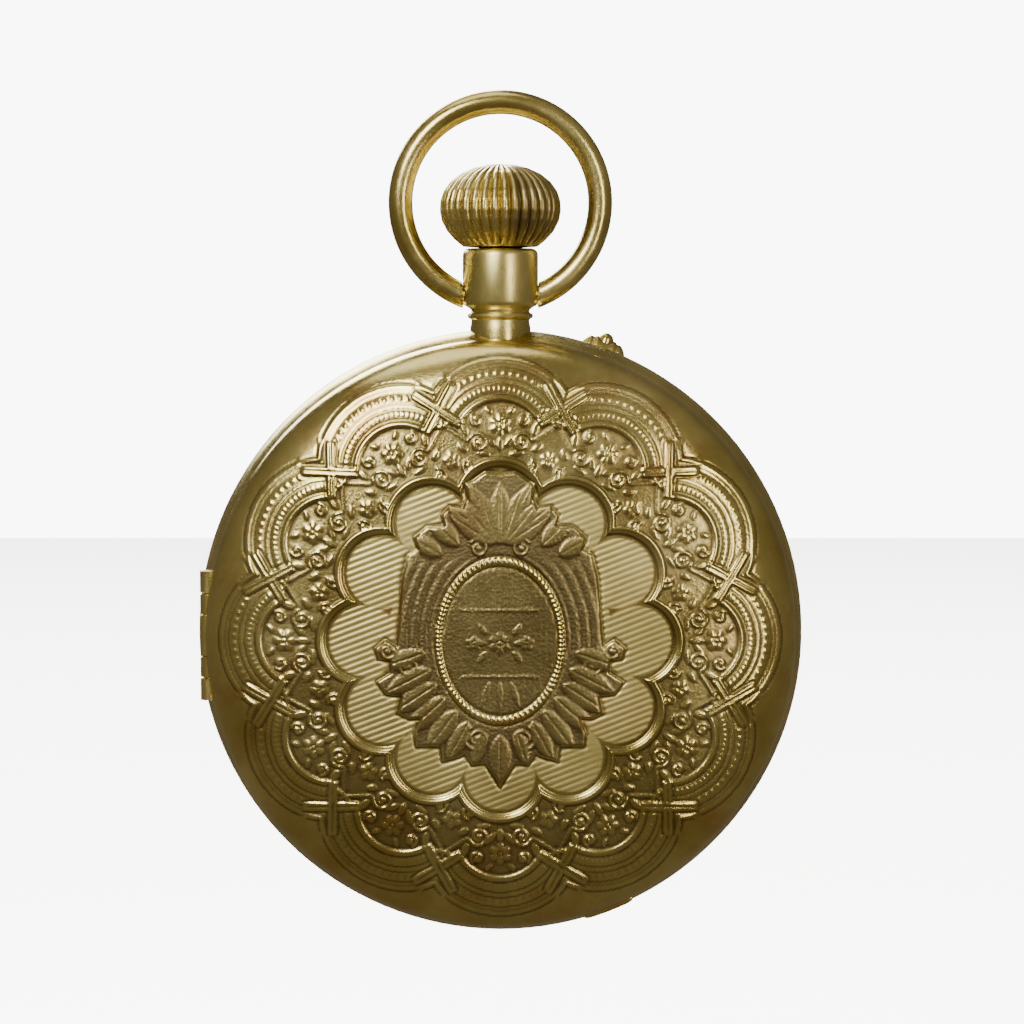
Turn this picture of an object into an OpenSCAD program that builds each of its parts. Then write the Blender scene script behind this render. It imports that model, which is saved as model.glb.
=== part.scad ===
/* [Case] */
// Outside diameter of the case middle
case_d = 33; // [30:0.5:40]
// Thickness of the case middle band
band_t = 3.4; // [3.2:0.1:4.4]
// How far the back cover domes out behind the band
back_rise = 3.3; // [3.2:0.1:5]
// How far the crystal domes out in front of the band
front_rise = 3.2; // [3:0.1:5]
// Wall thickness of the back cover
back_wall = 0.45; // [0.35:0.05:0.7]
// Wall thickness of the inner dust cover
inner_wall = 0.3; // [0.25:0.05:0.4]
// Thickness of the glass
crystal_t = 0.6; // [0.4:0.05:0.9]

/* [Hinges] */
// Diameter of the hinge knuckles
knuckle_d = 1; // [0.8:0.05:1.1]
// Diameter of the hinge pins
hinge_pin_d = 0.5; // [0.3:0.05:0.6]
// Length of one knuckle on the back hinge
knuckle_l = 1.2; // [0.9:0.1:1.6]
// Angle of the thumb lips, from 3 o'clock
lip_angle = 248.5; // [200:0.5:300]

/* [Pendant and bow] */
// Diameter of the pendant barrel
pendant_d = 4.1; // [3.6:0.1:5]
// Height of the pendant barrel
pendant_h = 3; // [2.4:0.1:4]
// Diameter of the pendant neck
neck_d = 3.2; // [2.8:0.1:3.4]
// Height of the pendant neck above the case edge
neck_h = 1.4; // [1:0.1:2.5]
// Mean diameter of the bow ring
bow_d = 10.84; // [10:0.1:14]
// Wire diameter of the bow
bow_wire = 1.31; // [1:0.05:1.6]
// Diameter of the bow's turned-in ends
bow_end_d = 0.95; // [0.7:0.05:1.2]

/* [Crown] */
// Widest diameter of the crown
crown_d = 6.44; // [5.6:0.1:7.4]
// Height of the crown
crown_h = 4.5; // [3.8:0.1:5]
// Number of flutes round the crown
flutes = 44; // [24:2:60]
// Diameter of the winding stem
stem_d = 0.9; // [0.7:0.05:1.1]

/* [Setting pin] */
// Angle of the pin to the left of 12 o'clock
pin_angle = 20; // [18:0.5:26]
// Diameter of the pin
pin_d = 0.8; // [0.6:0.05:0.9]
// Travel of the pin
pin_travel = 0.4; // [0.3:0.05:0.45]
// Width of the guard across the pin
guard_w = 2.7; // [2.3:0.1:3.2]

/* [Movement] */
// Diameter of the main plate
plate_d = 27.1; // [26.9:0.05:27.3]
// Thickness of the main plate
plate_t = 1; // [0.9:0.05:1.15]
// Space between the plate and the bridges
train_gap = 1.9; // [1.85:0.05:2]
// Thickness of the bridges
bridge_t = 0.8; // [0.7:0.05:0.85]
// Diameter of the balance rim
balance_d = 7.2; // [6.4:0.1:7.4]
// Diameter of the outer turn of the hairspring
hairspring_d = 3.8; // [3:0.1:4]

/* [Train] */
// Module of the barrel teeth
m_barrel = 0.125; // [0.12:0.001:0.128]
// Module of the centre wheel teeth
m_centre = 0.105; // [0.1:0.001:0.108]
// Module of the third wheel teeth
m_third = 0.095; // [0.09:0.001:0.098]
// Module of the fourth wheel teeth
m_fourth = 0.085; // [0.082:0.001:0.087]

/* [Dial and hands] */
// Thickness of the enamel dial
dial_t = 0.4; // [0.3:0.05:0.5]
// Length of the minute hand
minute_l = 11.2; // [9:0.1:12]
// Length of the hour hand
hour_l = 7.4; // [6:0.1:9]

/* [Hidden] */
$fn = 48;
eps = 0.01;

// running and seating clearances
run = 0.03;       // a pivot or pin that turns in its hole
seat = 0.02;      // a lid on its seat
side = 0.05;      // between knuckles and beside moving parts
gap = 0.12;       // between a moving part and its neighbour

// case radii
case_r = case_d / 2;
half_band = band_t / 2;
lid_r = case_r - 0.5;            // outside of the back cover and the bezel
rim_w = 0.55;                    // thickness of the lid rims
shoulder_r = lid_r - rim_w - side;
shoulder_w = 0.5;
shoulder_h = 0.5;
well_r = shoulder_r - shoulder_w; // the inner cover seats inside this
plate_r = plate_d / 2;
flange_r = plate_r + 0.4;
flange_t = 0.5;
bore_r = plate_r + side;
counter_r = flange_r + 0.1;
hinge_x = lid_r - 0.25;
knuckle_r = knuckle_d / 2;
hinge_z = half_band + 0.25;
knuckle_half = 1.1;              // half length of the middle knuckle

// heights through the movement, dial side positive, stem axis at zero
plate_z = 0.3;
plate_top = plate_z + plate_t;
bridge_lo = plate_z - train_gap;
bridge_hi = bridge_lo - bridge_t;
ledge_z = plate_z;
ratchet_t = 0.35;
works_z = plate_top + 0.05;
dial_z = plate_top + 0.8;
dial_top = dial_z + dial_t;
dial_r = counter_r - 0.15;

// pendant, bow and crown along the 12 o'clock line
neck_top = case_r + neck_h;
pendant_top = neck_top + pendant_h;
pendant_r = pendant_d / 2;
pivot_y = neck_top + 0.27 * pendant_h;
bow_r = bow_d / 2;
bow_y = pivot_y + 4.67 * bow_d / 10.84;
hang_y = bow_y + bow_r - bow_wire / 2;
crown_y = pendant_top + side;
crown_r = crown_d / 2;
sleeve_r = 1.15;
root_r = 1.3;

// train positions, seen from the dial side
function polar(r, a) = [r * cos(a), r * sin(a)];
function towards(p, q, r) = p + r * (q - p) / norm(q - p);
n_barrel = 72;
n_centre_pinion = 12;
n_centre = 80;
n_third_pinion = 10;
n_third = 75;
n_fourth_pinion = 10;
n_fourth = 80;
n_escape_pinion = 8;
n_escape = 15;
n_crown_wheel = 24;
n_ratchet = 42;
m_winding = 0.175;
crown_wheel_r = n_crown_wheel * m_winding / 2;
ratchet_r = n_ratchet * m_winding / 2;
barrel_out = m_barrel * (n_barrel + n_centre_pinion) / 2;
crown_wheel_at = [0, 10.3];
crown_reach = crown_wheel_at[1];
barrel_turn = acos((barrel_out * barrel_out + crown_reach * crown_reach
    - pow(crown_wheel_r + ratchet_r, 2)) / (2 * barrel_out * crown_reach));
barrel_at = polar(barrel_out, 90 - barrel_turn);
third_line = 235;
fourth_line = -55;
escape_line = -18;
third_at = polar(m_centre * (n_centre + n_third_pinion) / 2, third_line);
fourth_at = third_at + polar(m_third * (n_third + n_fourth_pinion) / 2, fourth_line);
escape_at = fourth_at + polar(m_fourth * (n_fourth + n_escape_pinion) / 2, escape_line);
balance_at = polar(8.2, -35);
escape_r = 2;
pallet_at = towards(escape_at, balance_at, 2.3);
fork_turn = atan2(balance_at[1] - pallet_at[1], balance_at[0] - pallet_at[0]);
fork_reach = norm(balance_at - pallet_at);

// levels of the train
wheel_t = 0.2;
third_z = 0;
escape_z = -0.2;
fourth_z = -0.65;
centre_z = -1.2;
barrel_lo = -0.95;
barrel_hi = 0.15;
pivot_r = 0.09;
arbor_r = 0.2;
balance_z = -1.3;
hairspring_z = -1.82;
cock_lo = -2.1;
cock_hi = -2.75;

// motion work
m_motion = 0.16;
n_cannon = 12;
n_minute = 36;
n_minute_pinion = 10;
n_hour = 40;
n_setting = 22;
motion_reach = m_motion * (n_cannon + n_minute) / 2;
m_hour = 2 * motion_reach / (n_minute_pinion + n_hour);
setting_reach = m_motion * (n_minute + n_setting) / 2;
setting_at = [0, 8.4];
minute_turn = acos((motion_reach * motion_reach + pow(setting_at[1], 2)
    - setting_reach * setting_reach) / (2 * motion_reach * setting_at[1]));
minute_line = 90 + minute_turn;
minute_at = polar(motion_reach, minute_line);
minute_phase = mesh_phase(minute_line, n_cannon, 0, n_minute);
setting_line = atan2(setting_at[1] - minute_at[1], setting_at[0] - minute_at[0]);
cannon_r = 0.5;
centre_arbor_r = 0.28;
hour_pipe_r = 0.78;
hour_z = works_z + 0.36;

// keyless work
pinion_y = 12.1;
pinion_l = 1;
n_winding = 14;
m_pinion = 0.24;
winding_room = m_pinion * (n_winding / 2 + 0.75) + 0.15;
crown_wheel_lo = -1.95;          // underside of the crown wheel, just clear of the pinion
clutch_y = 10.75;
clutch_l = 1.2;
clutch_r = 1.1;
groove_y = clutch_y + clutch_l / 2;
yoke_at = [-7.5, 9];
yoke_z = works_z + 0.25;
yoke_t = 0.35;
tab_at = polar(13.1, 90 + pin_angle);
pin_z = 0.9;
pin_out = case_r + 0.85;
pin_in = 13.35 + 0.05;
click_at = barrel_at + polar(ratchet_r + 1.55, 14);
click_tip = barrel_at + polar(ratchet_r - 0.06, -12);

// bridge screws
screw_at = [polar(12.3, 42), polar(12.3, 138), polar(12.3, 205), polar(12.3, 272)];
cock_screw_at = polar(12.65, -35);
case_screw_at = [polar(13, 168), polar(13, 348)];
pallet_screw_at = [for (s = [-1, 1]) pallet_at + polar(1.64, fork_turn - s * 78)];
foot_at = [polar(12.2, 62), polar(12.2, 242)];

// ---- shared shapes ----

// the watch is built flat, dial up, then stood on its edge below the bow
module placed() {
    translate([0, 0, -hang_y]) rotate([90, 0, 0]) children();
}

module at(p, z = 0) {
    translate([p[0], p[1], z]) children();
}

// a disc or a ring from z = a to z = b
module disc(r, a, b) {
    translate([0, 0, min(a, b)]) cylinder(r = r, h = abs(b - a));
}

module ring(r, hole, a, b) {
    difference() {
        disc(r, a, b);
        disc(hole, min(a, b) - eps, max(a, b) + eps);
    }
}

// a rod along the 12 o'clock line
module rod(r, y0, y1, z = 0) {
    translate([0, y1, z]) rotate([90, 0, 0]) cylinder(r = r, h = y1 - y0);
}

// a sector of a ring, from angle a to angle b
module sector(r0, r1, a, b, z0, z1) {
    translate([0, 0, min(z0, z1)]) rotate([0, 0, a])
        rotate_extrude(angle = b - a) translate([r0, 0]) square([r1 - r0, abs(z1 - z0)]);
}

// phase of wheel b that meshes with wheel a, when b lies from a at the angle line
function mesh_phase(line, na, phase_a, nb) =
    line + 180 + ((line - phase_a) * na / 360 + 0.5) * 360 / nb;

// pointed teeth, as on a watch wheel
function tooth_ring(n, root, tip, width) = [
    for (i = [0:n - 1]) let (step = 360 / n) each [
        polar(root, (i - width) * step), polar(tip, i * step), polar(root, (i + width) * step)
    ]
];

module toothed(n, module_size, a, b, phase = 0) {
    root = module_size * (n / 2 - 1.15);
    tip = module_size * (n / 2 + 0.9);
    translate([0, 0, min(a, b)]) rotate([0, 0, phase])
        linear_extrude(abs(b - a)) polygon(tooth_ring(n, root, tip, 0.3));
}

// leaves of a pinion: fewer, with flat tips
module leaves(n, module_size, a, b, phase = 0) {
    root = module_size * (n / 2 - 1.2);
    tip = module_size * (n / 2 + 0.75);
    step = 360 / n;
    points = [for (i = [0:n - 1]) each [
        polar(root, (i - 0.2) * step), polar(tip, (i - 0.1) * step),
        polar(tip, (i + 0.1) * step), polar(root, (i + 0.2) * step)
    ]];
    translate([0, 0, min(a, b)]) rotate([0, 0, phase]) linear_extrude(abs(b - a)) polygon(points);
}

// a wheel with crossed-out arms
module crossed(n, module_size, z, phase = 0, arms = 5, hub = 0.6) {
    rim = module_size * (n / 2 - 1.15) - 0.35;
    lo = z - wheel_t / 2;
    hi = z + wheel_t / 2;
    difference() {
        toothed(n, module_size, lo, hi, phase);
        difference() {
            ring(rim, hub, lo - eps, hi + eps);
            for (i = [0:arms - 1]) rotate([0, 0, i * 360 / arms])
                translate([0, -0.17, lo - 1]) cube([rim + 1, 0.34, 2 + wheel_t]);
        }
    }
}

// an arbor between plate and bridge, with its two pivots
module arbor(z0 = plate_z - 0.08, z1 = bridge_lo + 0.08) {
    disc(arbor_r, z0, z1);
    disc(pivot_r, plate_z + 0.35, bridge_lo - 0.35);
}

module slotted_screw(head_r, head_t, shank_r, shank_l) {
    difference() {
        union() {
            disc(head_r, 0, -head_t);
            disc(shank_r, 0, shank_l);
        }
        translate([-head_r - 1, -0.09, -head_t - eps]) cube([2 * head_r + 2, 0.18, head_t * 0.45]);
    }
}

// a flat bar between two points, with round ends a touch wider than the bar
module bar(p, q, w, a, b) {
    turn = atan2(q[1] - p[1], q[0] - p[0]);
    waist = 0.9 * w;
    at(p) rotate([0, 0, turn]) translate([0, -waist / 2, min(a, b)]) cube([norm(q - p), waist, abs(b - a)]);
    at(p) disc(w / 2, a, b);
    at(q) disc(w / 2, a, b);
}

// a thin strip that runs through a list of points
module strip(points, w, a, b) {
    for (i = [0:len(points) - 2]) bar(points[i], points[i + 1], w, a, b);
}

// a spiral band, as an outline that goes out and comes back
module spiral(r0, r1, turns, w, a, b, steps = 18) {
    last = turns * steps;
    reach = [for (i = [0:last]) [r0 + (r1 - r0) * i / last, 360 * i / steps]];
    outer = [for (p = reach) polar(p[0] + w / 2, p[1])];
    inner = [for (i = [last:-1:0]) polar(reach[i][0] - w / 2, reach[i][1])];
    translate([0, 0, min(a, b)]) linear_extrude(abs(b - a)) polygon(concat(outer, inner));
}

// a domed lid profile: from the rim at radius r to the top at height h
function dome(r, h, p, n = 18) = [
    for (i = [0:n]) let (a = 90 * i / n) [r * pow(cos(a), 2 / p), h * pow(sin(a), 2 / p)]
];

// knuckle of a lid or of the case on a hinge, between two places along it
module knuckle(y0, y1, z, r = knuckle_r) {
    translate([hinge_x, 0, 0]) rod(r, y0, y1, z);
}

module hinge_bore(z, half) {
    knuckle(-half - 1, half + 1, z, hinge_pin_d / 2 + run);
}

// places of the five back knuckles: case, cover, inner cover, cover, case
back_half = knuckle_half + 2 * knuckle_l;
bezel_half = knuckle_half + knuckle_l;

// clearance for another leaf's knuckle
module knuckle_cut(y0, y1, z) {
    knuckle(y0 - side, y1 + side, z, knuckle_r + side);
}

// ---- case ----

module case_middle() placed() color("goldenrod") difference() {
    union() {
        difference() {
            intersection() {
                disc(case_r, -half_band, half_band);
                union() {
                    rotate_extrude() translate([case_r - 2.65, 0]) circle(r = 2.65, $fn = 96);
                    disc(case_r - 1.5, -half_band, half_band);
                }
            }
            disc(bore_r, -half_band - eps, ledge_z + eps);
            disc(counter_r, ledge_z, half_band + eps);
        }
        ring(shoulder_r, well_r, -half_band - shoulder_h, -half_band + eps);
        ring(shoulder_r, well_r, half_band - eps, half_band + shoulder_h);
        for (s = [0, 1]) mirror([0, s, 0]) {
            knuckle(knuckle_half + knuckle_l + side / 2, back_half, -hinge_z);
            knuckle(knuckle_half + side / 2, bezel_half, hinge_z);
        }
    }
    // room for the lids' knuckles and the inner cover's leaf
    knuckle_cut(-knuckle_half - knuckle_l, knuckle_half + knuckle_l, -hinge_z);
    knuckle_cut(-knuckle_half, knuckle_half, hinge_z);
    translate([well_r - 1, -knuckle_half - side, -half_band - 2]) cube([3, 2 * knuckle_half + 2 * side, 2]);
    hinge_bore(-hinge_z, back_half);
    hinge_bore(hinge_z, bezel_half);
    // the pendant's root, and the setting pin with its guard
    rod(root_r, bore_r - 1, case_r + 1);
    rotate([0, 0, pin_angle]) {
        rod(pin_d / 2 + run, bore_r - 1, case_r + 1, pin_z);
        guard_seat(side / 5);
    }
    for (p = case_screw_at) at(p) disc(0.85 + side, -half_band - 1, -half_band + 0.12);
}

module pendant() placed() color("gold") difference() {
    union() {
        rod(root_r, bore_r + 0.2, case_r);
        difference() {
            rod(neck_d / 2, case_r - 1, neck_top + eps);
            disc(case_r, -5, 5);
        }
        rod(neck_d / 2 + 0.22, case_r + 0.45, case_r + 0.8);
        rod(pendant_r - 0.15, neck_top, pendant_top);
        rod(pendant_r, neck_top + 0.2, pendant_top - 0.1);
    }
    rod(sleeve_r, bore_r - 1, pendant_top + 1);
    translate([0, pivot_y, 0]) rotate([0, 90, 0])
        cylinder(r = bow_end_d / 2 + run, h = pendant_d + 2, center = true);
}

module pendant_sleeve() placed() color("silver") difference() {
    rod(sleeve_r, pendant_top - 1.4, pendant_top - 0.15);
    rod(stem_d / 2 + run, bore_r, pendant_top + 1);
    translate([0, pivot_y, 0]) rotate([0, 90, 0]) cylinder(r = bow_end_d / 2 + side, h = 2 * sleeve_r + 1, center = true);
}

module bow() placed() color("gold") {
    // the ring stops short of the pendant on both sides, and its thinner ends turn inwards
    face_x = pendant_r + 0.15;
    difference() {
        translate([0, bow_y, 0]) rotate_extrude($fn = 96) translate([bow_r, 0]) circle(r = bow_wire / 2);
        translate([-face_x, pivot_y - 5, -5]) cube([2 * face_x, 8, 10]);
    }
    for (s = [-1, 1]) translate([s * (face_x + 0.3), pivot_y, 0]) rotate([0, -s * 90, 0])
        cylinder(r = bow_end_d / 2, h = face_x + 0.3 - sleeve_r - side);
}

// half outline of the ball crown, from its foot to its top: a low ball that swells below its middle
function crown_outline(r) = let (foot = 2.1, belly = 0.43 * crown_h, cap = crown_h - belly) concat(
    [[0, 0], [foot, 0]],
    [for (a = [-60:15:0]) [foot + (r - foot) * cos(a), belly + belly * 0.9 * sin(a) / sin(60)]],
    [for (a = [15:15:90]) [r * pow(cos(a), 0.8), belly + cap * sin(a)]]
);

module crown() placed() color("gold") difference() {
    intersection() {
        translate([0, crown_y, 0]) rotate([-90, 0, 0]) rotate_extrude() polygon(crown_outline(crown_r));
        translate([0, crown_y + crown_h, 0]) rotate([90, 0, 0]) linear_extrude(crown_h)
            polygon(tooth_ring(flutes, crown_r - 0.3, crown_r + 0.05, 0.42));
    }
    rod(stem_d / 2, crown_y - 1, crown_y + 2.6);
}

module winding_stem() placed() color("lightsteelblue") {
    rod(stem_d / 2, pinion_y, crown_y + 2.6);
    difference() {
        rod(0.42, clutch_y - 0.9, pinion_y + eps);
        for (s = [0:3]) rotate([0, s * 90, 0]) translate([-1, clutch_y - 0.2, 0.3]) cube([2, 1.5, 1]);
    }
    rod(0.3, clutch_y - 1.4, clutch_y - 0.9 + eps);
}

// ---- setting pin ----

module guard_seat(grow = 0) {
    translate([0, case_r - 0.7, pin_z]) rotate([-90, 0, 0]) linear_extrude(2) {
        square([guard_w - 1.3 + 2 * grow, 1.3 + 2 * grow], center = true);
        for (s = [-1, 1]) translate([s * (guard_w - 1.3) / 2, 0]) circle(r = 0.65 + grow);
    }
}

module pin_guard() placed() color("gold") rotate([0, 0, pin_angle]) difference() {
    intersection() {
        guard_seat();
        translate([0, case_r - 1.6, pin_z]) sphere(r = 2.32, $fn = 64);
    }
    rod(pin_d / 2 + run, case_r - 2, case_r + 2, pin_z);
    translate([-(pin_d / 2 + 0.08), case_r + 0.25, pin_z - 2]) cube([pin_d + 0.16, 2, 4]);
}

module setting_pin() placed() color("gold") rotate([0, 0, pin_angle]) {
    rod(pin_d / 2, pin_in, pin_out - 0.2, pin_z);
    translate([0, pin_out - 0.2, pin_z]) rotate([-90, 0, 0]) cylinder(r1 = pin_d / 2, r2 = pin_d / 2 - 0.2, h = 0.2);
}

// ---- lids ----

module lip(z0, z1) {
    sector(lid_r - 0.3, lid_r + 0.32, lip_angle - 5.5, lip_angle + 5.5, z0, z1);
}

module back_cover() placed() color("gold") difference() {
    union() {
        rotate_extrude() mirror([0, 1]) translate([0, half_band + seat]) difference() {
            polygon(concat([[0, 0]], dome(lid_r, back_rise, 2.8)));
            polygon(concat([[0, -eps]], dome(lid_r - rim_w, back_rise - back_wall, 2.8)));
        }
        lip(-half_band - seat, -half_band - seat - 0.3);
        for (s = [0, 1]) mirror([0, s, 0]) knuckle(knuckle_half + side / 2, knuckle_half + knuckle_l - side / 2, -hinge_z);
    }
    for (s = [0, 1]) mirror([0, s, 0]) knuckle_cut(knuckle_half + knuckle_l + side, back_half, -hinge_z);
    knuckle_cut(-knuckle_half, knuckle_half, -hinge_z);
    translate([lid_r - 1.2, -knuckle_half - side, -half_band - 0.75]) cube([3, 2 * knuckle_half + 2 * side, 1]);
    hinge_bore(-hinge_z, back_half);
}

module inner_cover() placed() color("khaki") difference() {
    union() {
        rotate_extrude() mirror([0, 1]) translate([0, half_band + seat]) difference() {
            polygon(concat([[0, 0]], dome(well_r - side, 1.85, 4)));
            polygon(concat([[0, -eps]], dome(well_r - side - inner_wall, 1.85 - inner_wall, 4)));
        }
        translate([well_r - 0.5, -knuckle_half + side, -hinge_z - 0.2])
            cube([hinge_x - well_r + 0.5, 2 * knuckle_half - 2 * side, 0.4]);
        knuckle(-knuckle_half + side / 2, knuckle_half - side / 2, -hinge_z);
    }
    hinge_bore(-hinge_z, back_half);
}

bezel_rise = 2.2;
glass_r = 14;
glass_seat = half_band + 1.05;

module bezel() placed() color("gold") difference() {
    union() {
        rotate_extrude() difference() {
            translate([0, half_band + seat]) polygon(concat([[0, 0]], dome(lid_r, bezel_rise, 2.6)));
            translate([0, half_band]) square([lid_r - rim_w, shoulder_h + seat + side]);
            translate([0, half_band]) square([glass_r - 0.45, 4]);
            translate([0, half_band]) square([counter_r, dial_top + side - half_band]);
            translate([0, glass_seat]) square([glass_r, 4]);
        }
        lip(half_band + seat, half_band + seat + 0.3);
        knuckle(-knuckle_half + side / 2, knuckle_half - side / 2, hinge_z);
    }
    for (s = [0, 1]) mirror([0, s, 0]) knuckle_cut(knuckle_half + side, bezel_half, hinge_z);
    hinge_bore(hinge_z, bezel_half);
}

// the glass is a shallow dome of even thickness
module crystal() placed() color("lightcyan", 0.35) {
    rise = half_band + front_rise - glass_seat - 0.45;
    radius = (glass_r * glass_r + rise * rise) / (2 * rise);
    arc = asin(glass_r / radius);
    low = half_band + front_rise - radius;
    outer = [for (i = [0:20]) [radius * sin(arc * i / 20), low + radius * cos(arc * i / 20)]];
    inner_r = glass_r - 0.5;
    inner = [for (i = [20:-1:0]) let (x = inner_r * i / 20)
        [x, low - crystal_t + sqrt(radius * radius - x * x)]];
    rotate_extrude($fn = 72) polygon(concat(
        outer, [[glass_r, glass_seat], [inner_r, glass_seat]], inner));
}

module back_hinge_pin() placed() color("silver")
    knuckle(-back_half, back_half, -hinge_z, hinge_pin_d / 2);

module bezel_hinge_pin() placed() color("silver")
    knuckle(-bezel_half, bezel_half, hinge_z, hinge_pin_d / 2);

module case_screws() placed() color("steelblue")
    for (p = case_screw_at) at(p, -half_band + 0.12) slotted_screw(0.85, 0.35, 0.35, half_band + plate_z + 0.3);

// ---- dial and hands ----

module dial() placed() color("white") {
    ring(dial_r, hour_pipe_r + gap, dial_z, dial_top);
    for (p = foot_at) at(p) disc(0.35, dial_z + eps, plate_z + 0.2);
}

// small set screws that hold the dial feet from the edge of the plate
module dial_feet_screws() placed() color("steelblue")
    for (p = foot_at) let (turn = atan2(p[1], p[0]))
        rotate([0, 0, turn]) translate([norm(p) + 0.35, 0, plate_z + plate_t / 2])
            rotate([0, 90, 0]) cylinder(r = 0.25, h = plate_r - norm(p) - 0.35);

module hour_hand() placed() color("midnightblue") {
    z = dial_top + 0.25;
    ring(1.15, hour_pipe_r, z, z + 0.16);
    translate([0, 1, z]) linear_extrude(0.16) polygon([
        [-0.28, 0], [-0.2, 2.6], [-0.75, 3.3], [-0.2, 4], [-0.2, 4.3], [-0.95, 5.1], [0, hour_l - 1],
        [0.95, 5.1], [0.2, 4.3], [0.2, 4], [0.75, 3.3], [0.2, 2.6], [0.28, 0]]);
}

module minute_hand() placed() color("midnightblue") {
    z = dial_top + 0.6;
    ring(0.85, cannon_r, z, z + 0.16);
    translate([0, 0.7, z]) linear_extrude(0.16) polygon([
        [-0.24, 0], [-0.16, 4.6], [-0.55, 5.3], [-0.16, 6], [-0.16, 6.6], [-0.62, 7.6], [0, minute_l - 0.7],
        [0.62, 7.6], [0.16, 6.6], [0.16, 6], [0.55, 5.3], [0.16, 4.6], [0.24, 0]]);
}

module cannon_pinion() placed() color("silver") difference() {
    union() {
        leaves(n_cannon, m_motion, works_z, works_z + 0.3);
        disc(cannon_r, works_z + 0.3 - eps, dial_top + 0.82);
    }
    disc(centre_arbor_r, works_z - 1, dial_top + 2);
}

module hour_wheel() placed() color("gold") difference() {
    union() {
        toothed(n_hour, m_hour, hour_z, hour_z + 0.24, minute_line + 180 / n_hour);
        disc(hour_pipe_r, hour_z, dial_top + 0.41);
    }
    disc(cannon_r + run, hour_z - 1, dial_top + 2);
}

module minute_wheel() placed() color("gold") at(minute_at) difference() {
    union() {
        toothed(n_minute, m_motion, works_z, works_z + 0.3, minute_phase);
        leaves(n_minute_pinion, m_hour, works_z + 0.3 - eps, hour_z + 0.28, minute_line + 180);
    }
    disc(0.3, 0, 4);
}

module setting_wheel() placed() color("silver") at(setting_at) difference() {
    toothed(n_setting, m_motion, plate_top - 0.15, plate_top + 0.25,
        mesh_phase(setting_line, n_minute, minute_phase, n_setting));
    disc(0.4, 0, 4);
}

// ---- keyless work ----

module winding_pinion() placed() color("silver") difference() {
    translate([0, pinion_y, 0]) rotate([-90, 0, 0]) leaves(n_winding, m_pinion, 0, pinion_l);
    rod(stem_d / 2, pinion_y - 1, pinion_y + 3);
}

module clutch_wheel() placed() color("silver") difference() {
    union() {
        translate([0, clutch_y, 0]) rotate([-90, 0, 0]) leaves(12, 0.16, 0, 0.32);
        rod(0.75, clutch_y, clutch_y + clutch_l);
        rod(clutch_r, clutch_y + 0.9, clutch_y + clutch_l);
    }
    rod(0.42 + run, clutch_y - 1, clutch_y + 3);
}

module yoke() placed() color("lightsteelblue") difference() {
    hook = [0, groove_y];
    union() {
        at(yoke_at) disc(0.95, yoke_z, yoke_z + yoke_t);
        bar(yoke_at, hook, 0.6, yoke_z, yoke_z + yoke_t);
        bar(yoke_at, tab_at, 0.6, yoke_z, yoke_z + yoke_t);
        at(tab_at) disc(0.25, pin_z - 0.35, yoke_z + side);
        at(hook) disc(0.17, 0.82, yoke_z + side);
    }
    at(yoke_at) disc(0.35 + run, 0, 3);
}

module yoke_screw() placed() color("steelblue") at(yoke_at) {
    disc(0.35, plate_z + 0.3, yoke_z + yoke_t + run);
    disc(0.6, yoke_z + yoke_t + run, dial_z - run);
}

module yoke_spring() placed() color("silver") {
    foot = yoke_at + [-2.2, -6];
    at(foot) disc(0.5, plate_top, yoke_z + 0.3);
    strip([foot, foot + [0.6, 3], foot + [2.6, 5.1], yoke_at + [2.6, 0.4]], 0.16, yoke_z, yoke_z + 0.3);
}

// ---- plate and bridges ----

module pivots_through(a, b, r) {
    for (p = [third_at, fourth_at, escape_at, pallet_at, balance_at]) at(p) disc(r, a, b);
}

module main_plate() placed() color("khaki") difference() {
    union() {
        disc(plate_r, plate_z, plate_top);
        disc(flange_r, plate_z + eps, plate_z + flange_t);
        translate([-0.9, 9.35, -0.6]) cube([1.4, 0.5, 0.7 + plate_z]);
        for (p = case_screw_at) intersection() {
            at(p) disc(0.8, plate_z + eps, -half_band + 0.12 + run);
            disc(plate_r, -3, 3);
        }
        at(minute_at) disc(0.3 - run, plate_top - eps, hour_z + 0.28);
        at(setting_at) disc(0.4 - run, plate_top - 0.2, plate_top + 0.3);
    }
    pivots_through(plate_z - 1, plate_top + 1, 0.5);
    disc(centre_arbor_r + run, -1, 3);
    at(barrel_at) disc(0.5 + run, -1, 3);
    // room for the stem, the sliding clutch and the winding pinion
    rod(0.3 + run, 9, 10);
    translate([-clutch_r - gap, 9.85, -2]) cube([2 * clutch_r + 2 * gap, 2.2, 5]);
    translate([-winding_room, pinion_y - gap, -2]) cube([2 * winding_room, 3, 5]);
    difference() {
        at(setting_at) disc(m_motion * (n_setting / 2 + 0.9) + side, plate_top - 0.2, plate_top + 1);
        at(setting_at) disc(0.4 - run, 0, 3);
    }
    // notch for the yoke's tab, and its screw
    at(tab_at) disc(0.95, -1, 3);
    rotate([0, 0, pin_angle]) translate([-0.6, 13.1, -1]) cube([1.2, 2, 4]);
    at(yoke_at) disc(0.35, -1, 3);
    for (p = screw_at) at(p) disc(0.35, -1, 3);
    at(cock_screw_at) disc(0.35, -1, 3);
    for (p = pallet_screw_at) at(p) disc(0.2, -1, 3);
    for (p = case_screw_at) at(p) disc(0.35 + run, -3, 3);
    for (p = foot_at) at(p) disc(0.35, -1, 3);
    for (p = foot_at) let (turn = atan2(p[1], p[0])) rotate([0, 0, turn])
        translate([norm(p), 0, plate_z + plate_t / 2]) rotate([0, 90, 0]) cylinder(r = 0.25, h = 5);
}

bridge_r = plate_r - 0.35;
foot_r = bridge_r - 0.1;
split_y = 1.8;

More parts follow.
